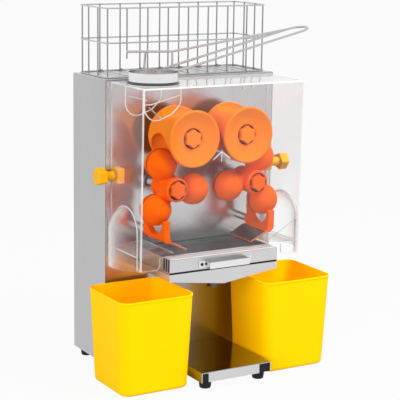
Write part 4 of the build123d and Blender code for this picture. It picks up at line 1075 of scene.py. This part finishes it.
class JUICER_OT_cover(bpy.types.Operator):
    """Mould the clear cover with its hoods and chute floors"""

    bl_idname = "juicer.cover"
    bl_label = "Clear cover"

    # Places of two of the cover's finishes in its list; its walls have the first one.
    # The edge finish is a painted highlight.
    edge_finish, hood_finish = 1, 2

    def thin(self, face):
        """Whether a face is as narrow as the edge of a wall."""
        return 2 * face.calc_area() / face.calc_perimeter() < 1.2 * sizes().cover_wall

    def box(self, size, inset, open_by):
        """Prism of the cover, its walls moved in and its open back and bottom moved out."""
        low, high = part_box("cover_sides")
        front_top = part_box("cover_front")[0].y + inset
        front_low = front_top + size.cover_lean
        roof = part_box("cover_front")[1].z - inset
        half = high.x - inset
        back, bottom = high.y + open_by, low.z - open_by
        side = ((back, bottom), (front_low, bottom), (front_top, roof), (back, roof))
        return prism([(-half, y, z) for y, z in side], RIGHT * 2 * half)

    def outer(self, size):
        """The cover's outside, its moulded edges round, and its cut faces and narrow rounds given the edge finish,
        a painted highlight.
        """
        shape = self.box(size, 0, 0)
        wall = size.cover_wall
        low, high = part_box("cover_front")
        front, roof = low.y + size.cover_lean + wall, high.z - wall
        bottom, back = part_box("cover_sides")[0].z + wall, FACE - wall
        corners = []
        for edge in shape.edges:
            ends = [vert.co for vert in edge.verts]
            if (all(end.z > roof or end.y < front for end in ends)
                    and any(end.z >= bottom for end in ends)
                    and any(end.y <= back for end in ends)):
                corners.append(edge)
        bevel_edges(shape, corners, size.cover_edge, segments=4)

        def cut(face):
            return face.normal.z < -FACING or face.normal.y > FACING or self.thin(face)

        return marked(shape, cut, self.edge_finish)

    def hoods(self, inset):
        """Domed upright hoods, one for each side, their walls moved in."""
        low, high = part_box("peel_hoods")
        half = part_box("cover_sides")[1].x
        half_length = (high.y - low.y) / 2
        bulge = high.x - half
        radius = (half_length ** 2 + bulge ** 2) / (2 * bulge)
        shoulder = high.z - half_length
        wall = radius - inset
        bottom = low.z - inset
        outline = [(bottom, 0), (bottom, wall)]
        outline += [(z, r) for r, z in arc((0, shoulder), wall, 0, 90, steps=16)]
        made = []
        for sign in SIDES.values():
            centre = (sign * (high.x - radius), (low.y + high.y) / 2, 0)
            made.append(marked(
                turned(outline, centre, UP), lambda face: face.normal.z < -FACING,
                self.edge_finish, self.hood_finish))
        return made

    def notch(self, size):
        """Cutter of the notch in the front, its lower corners turned outwards."""
        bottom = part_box("cover_sides")[0].z
        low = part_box("cover_front")[0]
        front = low.y - size.cover_wall
        half, radius = size.notch_half, size.notch_radius
        right = arc((half + radius, bottom + radius), radius, 270, 180, steps=6)
        outline = [(half + radius, bottom - radius), *right, (half, low.z)]
        outline += [(-x, z) for x, z in reversed(outline)]
        deep = -FORWARD * (size.cover_lean + 4 * size.cover_wall)
        return marked(prism([(x, front, z) for x, z in outline], deep), finish=self.edge_finish)

    def holes(self, size):
        """Cutters of the inlet and of the slots for the catches' studs."""
        low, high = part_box("inlet_collar")
        middle = (low + high) / 2
        middle.z = low.z
        wall = 2 * size.cover_wall
        made = [bar(-wall, wall, (high.x - low.x) / 2 - 2 * size.collar_wall, middle, UP)]
        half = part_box("cover_sides")[1].x
        radius = size.slot_radius
        for side, sign in SIDES.items():
            stud = pivot(f"cover_knob_{side}_turn")
            start = sign * (half - wall)
            slot = arc((stud.y, stud.z), radius, 270, 90, steps=12)
            slot += [(FACE, stud.z + radius), (FACE, stud.z - radius)]
            made.append(prism([(start, y, z) for y, z in slot], RIGHT * sign * 2 * wall))
        return [marked(shape, finish=self.edge_finish) for shape in made]

    def chutes(self, size):
        """Chute floors and their three-cornered cheeks, let a little into the walls."""
        low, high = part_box("peel_chutes")
        sheet, lip = size.chute_sheet, size.chute_lip
        bite = sheet / 4
        wall = high.x + bite
        outer_z = low.z + sheet
        inner_z = outer_z + size.chute_fall
        floor = [(lip, inner_z), (wall, outer_z), (wall, low.z), (lip, inner_z - sheet)]
        cheek = [(lip, inner_z), (wall, high.z), (wall, low.z), (lip, inner_z - sheet)]
        made = []
        for sign in SIDES.values():
            for outline, start, deep in (
                    (floor, high.y, high.y - low.y), (cheek, low.y + sheet, sheet + bite)):
                shape = prism([(sign * x, start, z) for x, z in outline], FORWARD * deep)
                made.append(marked(shape, self.thin, self.edge_finish))
        return made

    def beads(self, size):
        """Beads along the arches where the hoods join the sides, in the edge finish, a painted highlight."""
        low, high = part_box("peel_hoods")
        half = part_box("cover_sides")[1].x
        middle = (low.y + high.y) / 2
        bend = (high.y - low.y) / 2 - size.hood_bead
        arch = (
            (low.y, low.z), (low.y, high.z), (middle, high.z), (high.y, high.z), (high.y, low.z))
        made = []
        for sign in SIDES.values():
            route = [(sign * half, y, z) for y, z in arch], bend, False
            made.append(marked(wires([route], size.hood_bead), finish=self.edge_finish))
        return made

    def execute(self, context):
        size = sizes()
        shape = combined(self.outer(size), self.hoods(0), "UNION")
        cuts = [self.box(size, size.cover_wall, size.cover_wall), *self.hoods(size.hood_wall)]
        cuts += [self.notch(size), *self.holes(size)]
        shape = combined(shape, cuts, "DIFFERENCE")
        shape = combined(shape, self.chutes(size), "UNION")
        shape = joined([shape, *self.beads(size)])
        piece("cover", shape, "clear edge hood", "cover",
              ["cover_front", "cover_roof", "cover_sides", "peel_hoods", "peel_chutes"], sharp=30)
        return {"FINISHED"}


class JUICER_OT_cover_grips(bpy.types.Operator):
    """Make the grips that clamp the cover, and their catches"""

    bl_idname = "juicer.cover_grips"
    bl_label = "Cover grips"

    points = 5
    start = math.radians(90)
    # Radius of a grip's tips over its node's height
    reach = 0.57

    def grip(self, size, side, sign):
        """Star on a round neck."""
        node = f"cover_knob_{side}"
        low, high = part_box(node)
        axis = RIGHT * sign
        neck = size.grip_neck
        centre = (low + high) / 2
        centre.x = high.x if sign < 0 else low.x
        head = star(
            centre + axis * neck, axis, self.start, (high.z - low.z) * self.reach, self.points,
            high.x - low.x - neck)
        post = bar(0, neck, size.grip_stem, centre, axis, steps=40)
        shape = combined(head, [post], "UNION")
        piece(f"grip_{side}", shape, "grip", node, [node], bevel=size.star_edge)

    def execute(self, context):
        size = sizes()
        for side, sign in SIDES.items():
            self.grip(size, side, sign)
        shape = flattened(node_copy("cover_catches"))
        piece("catches", shape, "grip", "machine", ["cover_catches"],
              bevel=size.star_edge)
        return {"FINISHED"}


class JUICER_OT_inlet(bpy.types.Operator):
    """Make the steel collar, the wire ramp and the hanging guide"""

    bl_idname = "juicer.inlet"
    bl_label = "Inlet"

    # Points of the guide's wires: metres right of the collar's middle, and down from the roof
    hoop = (
        (0.036, 0), (0.036, 0.0335), (0.014, 0.0535), (-0.016, 0.0645), (-0.034, 0.0645),
        (-0.048, 0.0455), (-0.048, 0))
    brace = ((0.036, 0.015), (-0.031, 0.0315), (-0.048, 0.0315))
    low_tie = ((-0.013, 0.059), (0.0095, 0.0505))
    high_tie = ((-0.0455, 0.021), (-0.0455, 0.021))

    def collar(self, size):
        """Bright ring with a flange, painted dark as shade between the flange and its foot's height."""
        low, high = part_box("inlet_collar")
        centre = (low + high) / 2
        centre.z = low.z
        wall = size.collar_wall
        radius = (high.x - low.x) / 2 - wall
        height = high.z - low.z
        foot = height * size.collar_painted_shade
        shape = turned([
            (0, radius - wall), (0, radius + wall), (wall, radius + wall), (wall * 1.5, radius),
            (foot, radius), (height, radius), (height, radius - wall)], centre, UP, closed=True)
        # Painted shade: the faces between the flange and the foot's height take the dark steel
        marked(shape, lambda face: wall < face.calc_center_median().z - low.z < foot)
        piece("collar", shape, "bright screen", "cover", ["inlet_collar"],
              bevel=size.sheet_edge)

    def guide(self, size):
        """Two round hoops across the inlet, a brace on the front one and two ties between them."""
        low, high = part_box("guide_cage")
        collar_low, collar_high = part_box("inlet_collar")
        middle = (collar_low.x + collar_high.x) / 2
        wire = size.guide_wire
        front, back = low.y + 2 * wire, high.y - 2 * wire
        behind = front + 2 * wire - size.weld_bite / 2

        def route(points, start, end):
            depths = [start] * (len(points) - 1) + [end]
            places = [(middle + x, y, high.z - drop) for (x, drop), y in zip(points, depths)]
            return places, size.guide_bend, False

        routes = [route(self.hoop, y, y) for y in (front, back)]
        routes.append(route(self.brace, behind, behind))
        routes += [route(tie, low.y, high.y) for tie in (self.low_tie, self.high_tie)]
        piece("guide", wires(routes, wire), "bright", "cover", ["guide_cage"], sharp=40)

    def execute(self, context):
        self.collar(sizes())
        self.guide(sizes())
        piece("ramp", node_copy("feed_ramp"), "rod", "cover", ["feed_ramp"], sharp=40)
        return {"FINISHED"}


class JUICER_OT_basket(bpy.types.Operator):
    """Bend and weld the wire basket"""

    bl_idname = "juicer.basket"
    bl_label = "Basket"

    def execute(self, context):
        size = sizes()
        low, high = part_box("wire_basket")
        wire, bite, bend = size.basket_wire, size.weld_bite, size.basket_bend
        bays, side_bays = size.basket_bays, size.basket_side_bays
        inset = 2 * wire - bite
        left, right = low.x + wire, high.x - wire
        front, back = low.y + wire, high.y - wire
        bottom, top = low.z + wire, high.z - wire

        def upright(x, y, start=low.z):
            return [(x, y, start), (x, y, top + bite)], 0, False

        uprights, rods = [], []
        for level in (bottom, (bottom + top) / 2, top):
            corners = ((left, front), (right, front), (right, back), (left, back))
            rods.append(([(x, y, level) for x, y in corners], bend, True))
        floor = bottom + inset
        for number in range(1, bays):
            x = left + (right - left) * number / bays
            start = low.z + size.basket_short if number == 1 else low.z
            uprights += [upright(x, front + inset, start), upright(x, back - inset)]
            x += inset
            rods.append(([(x, front - bite, floor), (x, back + bite, floor)], 0, False))
        corner = bend * (1 - math.sqrt(0.5)) + inset * math.sqrt(0.5)
        for edge, sign in ((left, 1), (right, -1)):
            for number in range(1, side_bays):
                y = front + (back - front) * number / side_bays
                uprights.append(upright(edge + sign * inset, y))
            for y in (front + corner, back - corner):
                uprights.append(upright(edge + sign * corner, y))
        shape = joined([wires(uprights, wire), marked(wires(rods, wire))])
        piece("basket", shape, "wire rod", "basket", ["wire_basket"], sharp=40)
        return {"FINISHED"}


class JUICER_OT_drawer(bpy.types.Operator):
    """Make the tank, the perforated strainer drawer and its bow handle"""

    bl_idname = "juicer.drawer"
    bl_label = "Strainer drawer"

    def holed_sheet(self, size, low, high, level, rows, stretch=1):
        """Sheet with rows of holes: one holed square, repeated both ways and thickened."""
        columns = size.hole_columns
        pitch = Vector(((high.x - low.x) / columns, (high.y - low.y) / rows))
        cell = bmesh.new()
        hole = bmesh.ops.create_circle(cell, segments=8, radius=size.hole_radius)["verts"]
        for vert in verts_of(bmesh.ops.extrude_edge_only(cell, edges=cell.edges)["geom"]):
            side = vert.co.xy / max(abs(vert.co.x), abs(vert.co.y))
            vert.co.xy = Vector((round(side.x) * pitch.x / 2, round(side.y) * pitch.y / 2))
        bmesh.ops.scale(cell, vec=(1, stretch, 1), verts=hole)
        bmesh.ops.translate(
            cell, vec=(low.x + pitch.x / 2, low.y + pitch.y / 2, level), verts=cell.verts)
        bmesh.ops.recalc_face_normals(cell, faces=cell.faces)
        holder = temporary(cell)
        for steps, offset in ((columns, (pitch.x, 0, 0)), (rows, (0, pitch.y, 0))):
            array = holder.modifiers.new("holes", "ARRAY")
            array.use_relative_offset = False
            array.use_constant_offset = True
            array.constant_offset_displace = offset
            array.count = steps
            array.use_merge_vertices = True
            array.merge_threshold = 10 * WELD
        thick = holder.modifiers.new("thick", "SOLIDIFY")
        thick.thickness = size.drawer_sheet
        thick.offset = 0
        return evaluated(holder)

    def tank(self, size):
        """The tank as it is, its spout painted dark as shade."""
        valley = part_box("juice_tank")[0].z + size.spout_length
        shape = marked(
            node_copy("juice_tank"), lambda face: face.calc_center_median().z < valley)
        piece("tank", shape, "tray screen", "machine", ["juice_tank"], sharp=30)

    def strainer(self, size):
        """Tray with a holed sheet below its rim, painted dark as shade, and a slotted lip behind its front."""
        low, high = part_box("strainer_drawer")
        sheet = size.drawer_sheet
        inner_low = Vector((low.x + sheet, low.y + sheet, low.z - sheet))
        inner_high = Vector((high.x - sheet, high.y - sheet, high.z + sheet))
        tray = combined(block(low, high), [block(inner_low, inner_high)], "DIFFERENCE")
        level = high.z - sheet / 2
        screen = self.holed_sheet(
            size, inner_low, inner_high, level - size.strainer_drop, size.hole_rows)
        lip_high = inner_high.copy()
        lip_high.y = inner_low.y + size.strainer_lip
        lip = self.holed_sheet(size, inner_low, lip_high, level, size.lip_rows, size.lip_stretch)
        # The holed sheet takes the dark steel, painted shade
        shape = joined([tray, marked(screen), marked(lip, finish=2)])
        piece("strainer", shape, "strainer screen lip", "drawer", ["strainer_drawer"],
              sharp=30)

    def handle(self, size):
        """Bow handle and a small black screw at each of its ends."""
        shape = flattened(node_copy("drawer_handle"))
        piece("handle", shape, "bright", "drawer", ["drawer_handle"],
              bevel=size.star_edge)
        low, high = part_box("drawer_handle")
        middle = (low.z + high.z) / 2
        inset = 2 * size.screw_radius
        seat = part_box("drawer_front")[0].y - size.sheet
        places = [(x, seat - size.sheet_edge, middle) for x in (low.x + inset, high.x - inset)]
        shape = screw_heads(places, FORWARD, size.screw_radius, size.screw_height)
        piece("handle_screws", shape, "black", "drawer", sharp=30)

    def seal(self, size):
        """Black strips of painted shade: one in the gap below the drawer's front, and some at the drawer's ends.
        """
        low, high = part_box("drawer_front")
        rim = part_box("juice_tank")[1].z
        half = size.sheet / 2
        parts = [block(
            (low.x, (low.y + high.y) / 2, rim + size.sheet_edge), (high.x, high.y, low.z))]
        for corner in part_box("strainer_drawer"):
            for number in range(size.end_strips):
                y = high.y + (number + 0.5) * size.end_pitch
                parts.append(block(
                    (corner.x - half, y, low.z), (corner.x + half, y + size.end_strip, high.z)))
        piece("seal", joined(parts), "rubber", "drawer")

    def execute(self, context):
        for make in (self.tank, self.strainer, self.handle, self.seal):
            make(sizes())
        return {"FINISHED"}


class JUICER_OT_bins(bpy.types.Operator):
    """Mould the peel bins"""

    bl_idname = "juicer.bins"
    bl_label = "Peel bins"

    def tub(self, size, low, high):
        """Tapered tub without a top: rounded block, its floor drawn in, its rim stepped out."""
        lip = Vector((size.bin_lip, size.bin_lip, 0))
        step = Vector((0, 0, size.bin_lip_height))
        shape = block(low + lip, high - lip - step)
        middle = (low + high) / 2
        about_middle = Matrix.Translation(-middle)
        upright = [edge for edge in shape.edges
                   if abs(edge.verts[0].co.z - edge.verts[1].co.z) > size.bin_corner]
        bevel_edges(shape, upright, size.bin_corner, segments=8)
        width, depth = (high - low).xy - 2 * lip.xy
        foot = [vert for vert in shape.verts if vert.co.z < middle.z]
        bmesh.ops.scale(
            shape, vec=(1 - 2 * size.bin_taper / width, 1 - 2 * size.bin_taper / depth, 1),
            space=about_middle, verts=foot)
        top = [face for face in shape.faces if face.normal.z > FACING]
        bmesh.ops.delete(shape, geom=top, context="FACES_ONLY")
        floor = [face for face in shape.faces if face.normal.z < -FACING]
        bevel_edges(shape, list(floor[0].edges), size.bin_floor, segments=5)
        rim = [edge for edge in shape.edges if edge.is_boundary]
        grow = (1 + 2 * size.bin_lip / width, 1 + 2 * size.bin_lip / depth, 1)
        for scale, lift in ((grow, Vector()), ((1, 1, 1), step)):
            raised = bmesh.ops.extrude_edge_only(shape, edges=rim)["geom"]
            verts = verts_of(raised)
            rim = [item for item in raised
                   if isinstance(item, bmesh.types.BMEdge) and item.is_boundary]
            bmesh.ops.scale(shape, vec=scale, space=about_middle, verts=verts)
            bmesh.ops.translate(shape, vec=lift, verts=verts)
        bmesh.ops.recalc_face_normals(shape, faces=shape.faces)
        return shape

    def execute(self, context):
        size = sizes()
        for side in SIDES:
            low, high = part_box(f"peel_bin_{side}")
            holder = temporary(self.tub(size, low, high))
            wall = holder.modifiers.new("wall", "SOLIDIFY")
            wall.thickness = size.bin_wall
            wall.offset = -1
            piece(f"bin_{side}", evaluated(holder), "yellow", f"bin_{side}",
                  [f"peel_bin_{side}"], bevel=size.star_edge, sharp=50)
        return {"FINISHED"}


class JUICER_OT_stage(bpy.types.Operator):
    """Set the floor, the light and the camera"""

    bl_idname = "juicer.stage"
    bl_label = "Stage"

    floor_half = 30
    floor_grey = (0.4, 0.4, 0.4, 1)
    # Place and width of each lamp
    lamps = {"key": ((1.1, -1.4, 3.0), 1.8), "fill": ((-2.6, -1.4, 1.0), 2.0)}

    def floor(self, stage):
        """Wide floor that is grey to the light and nearly white to the eye."""
        shape = bmesh.new()
        bmesh.ops.create_grid(shape, x_segments=1, y_segments=1, size=self.floor_half)
        made = linked("floor", mesh_of("floor", shape))
        graph = new_graph("floor_white")
        matt = graph.out("ShaderNodeBsdfDiffuse", None, {"Color": self.floor_grey})
        white = graph.out("ShaderNodeEmission", None, {"Color": WHITE, "Strength": 1.0})
        share = graph.seen_rays() * stage.floor_white
        made.data.materials.append(graph.finish(graph.mixed(share, matt, white)))

    def world(self, stage):
        """Even light that looks white where it is seen."""
        graph = Graph(bpy.data.worlds.new("studio"))
        level = graph.seen_rays() * (stage.backdrop - stage.ambient) + stage.ambient
        light = graph.out("ShaderNodeBackground", None, {"Color": WHITE, "Strength": level})
        bpy.context.scene.world = graph.finish(light, "ShaderNodeOutputWorld")

    def lamp(self, stage, name):
        """Area lamp that looks at the camera's target and isn't mirrored."""
        place, width = self.lamps[name]
        data = bpy.data.lights.new(name, "AREA")
        data.energy = getattr(stage, name)
        data.size = width
        made = linked(name, data)
        made.location = place
        made.visible_glossy = False
        aim = Vector(stage.target) - made.location
        made.rotation_euler = aim.to_track_quat("-Z", "Y").to_euler()

    def camera(self, stage):
        """Camera that looks at its target from the photograph's direction."""
        data = bpy.data.cameras.new("camera")
        data.lens = stage.lens
        data.sensor_width = stage.sensor
        made = linked("camera", data)
        around, up = stage.azimuth, stage.elevation
        back = Vector((
            math.sin(around) * math.cos(up), -math.cos(around) * math.cos(up), math.sin(up)))
        place = Matrix.Translation(Vector(stage.target) + back * stage.distance)
        aim = (-back).to_track_quat("-Z", "Y").to_matrix().to_4x4()
        made.matrix_world = place @ aim @ Matrix.Rotation(stage.roll, 4, "Z")
        bpy.context.scene.camera = made

    def execute(self, context):
        stage = context.scene.juicer_stage
        context.scene.view_settings.view_transform = "Standard"
        self.floor(stage)
        self.world(stage)
        for name in self.lamps:
            self.lamp(stage, name)
        self.camera(stage)
        return {"FINISHED"}


class JUICER_PT_sidebar(bpy.types.Panel):
    """Buttons that build the juicer's pieces"""

    bl_idname = "JUICER_PT_sidebar"
    bl_label = "Orange juicer"
    bl_space_type = "VIEW_3D"
    bl_region_type = "UI"
    bl_category = "Juicer"

    def draw(self, context):
        for operator in OPERATORS:
            self.layout.operator(operator.bl_idname)


GROUPS = (JuicerSizes, JuicerColours, JuicerStage)
OPERATORS = (
    JUICER_OT_frame_finishes, JUICER_OT_cabinet, JUICER_OT_drums, JUICER_OT_rotors,
    JUICER_OT_star_knobs, JUICER_OT_ejectors, JUICER_OT_cover, JUICER_OT_cover_grips,
    JUICER_OT_inlet, JUICER_OT_basket, JUICER_OT_drawer, JUICER_OT_bins, JUICER_OT_stage)


def register():
    """Register the classes and hang their settings on the scene."""
    for cls in (*GROUPS, *OPERATORS, JUICER_PT_sidebar):
        bpy.utils.register_class(cls)
    bpy.types.Scene.juicer_sizes = PointerProperty(type=JuicerSizes)
    bpy.types.Scene.juicer_colours = PointerProperty(type=JuicerColours)
    bpy.types.Scene.juicer_stage = PointerProperty(type=JuicerStage)


def unregister():
    """Take the settings and classes away again."""
    del bpy.types.Scene.juicer_stage
    del bpy.types.Scene.juicer_colours
    del bpy.types.Scene.juicer_sizes
    for cls in reversed((*GROUPS, *OPERATORS, JUICER_PT_sidebar)):
        bpy.utils.unregister_class(cls)


def main():
    register()
    for operator in OPERATORS:
        group, name = operator.bl_idname.split(".")
        getattr(getattr(bpy.ops, group), name)()


if __name__ == "__main__":
    main()
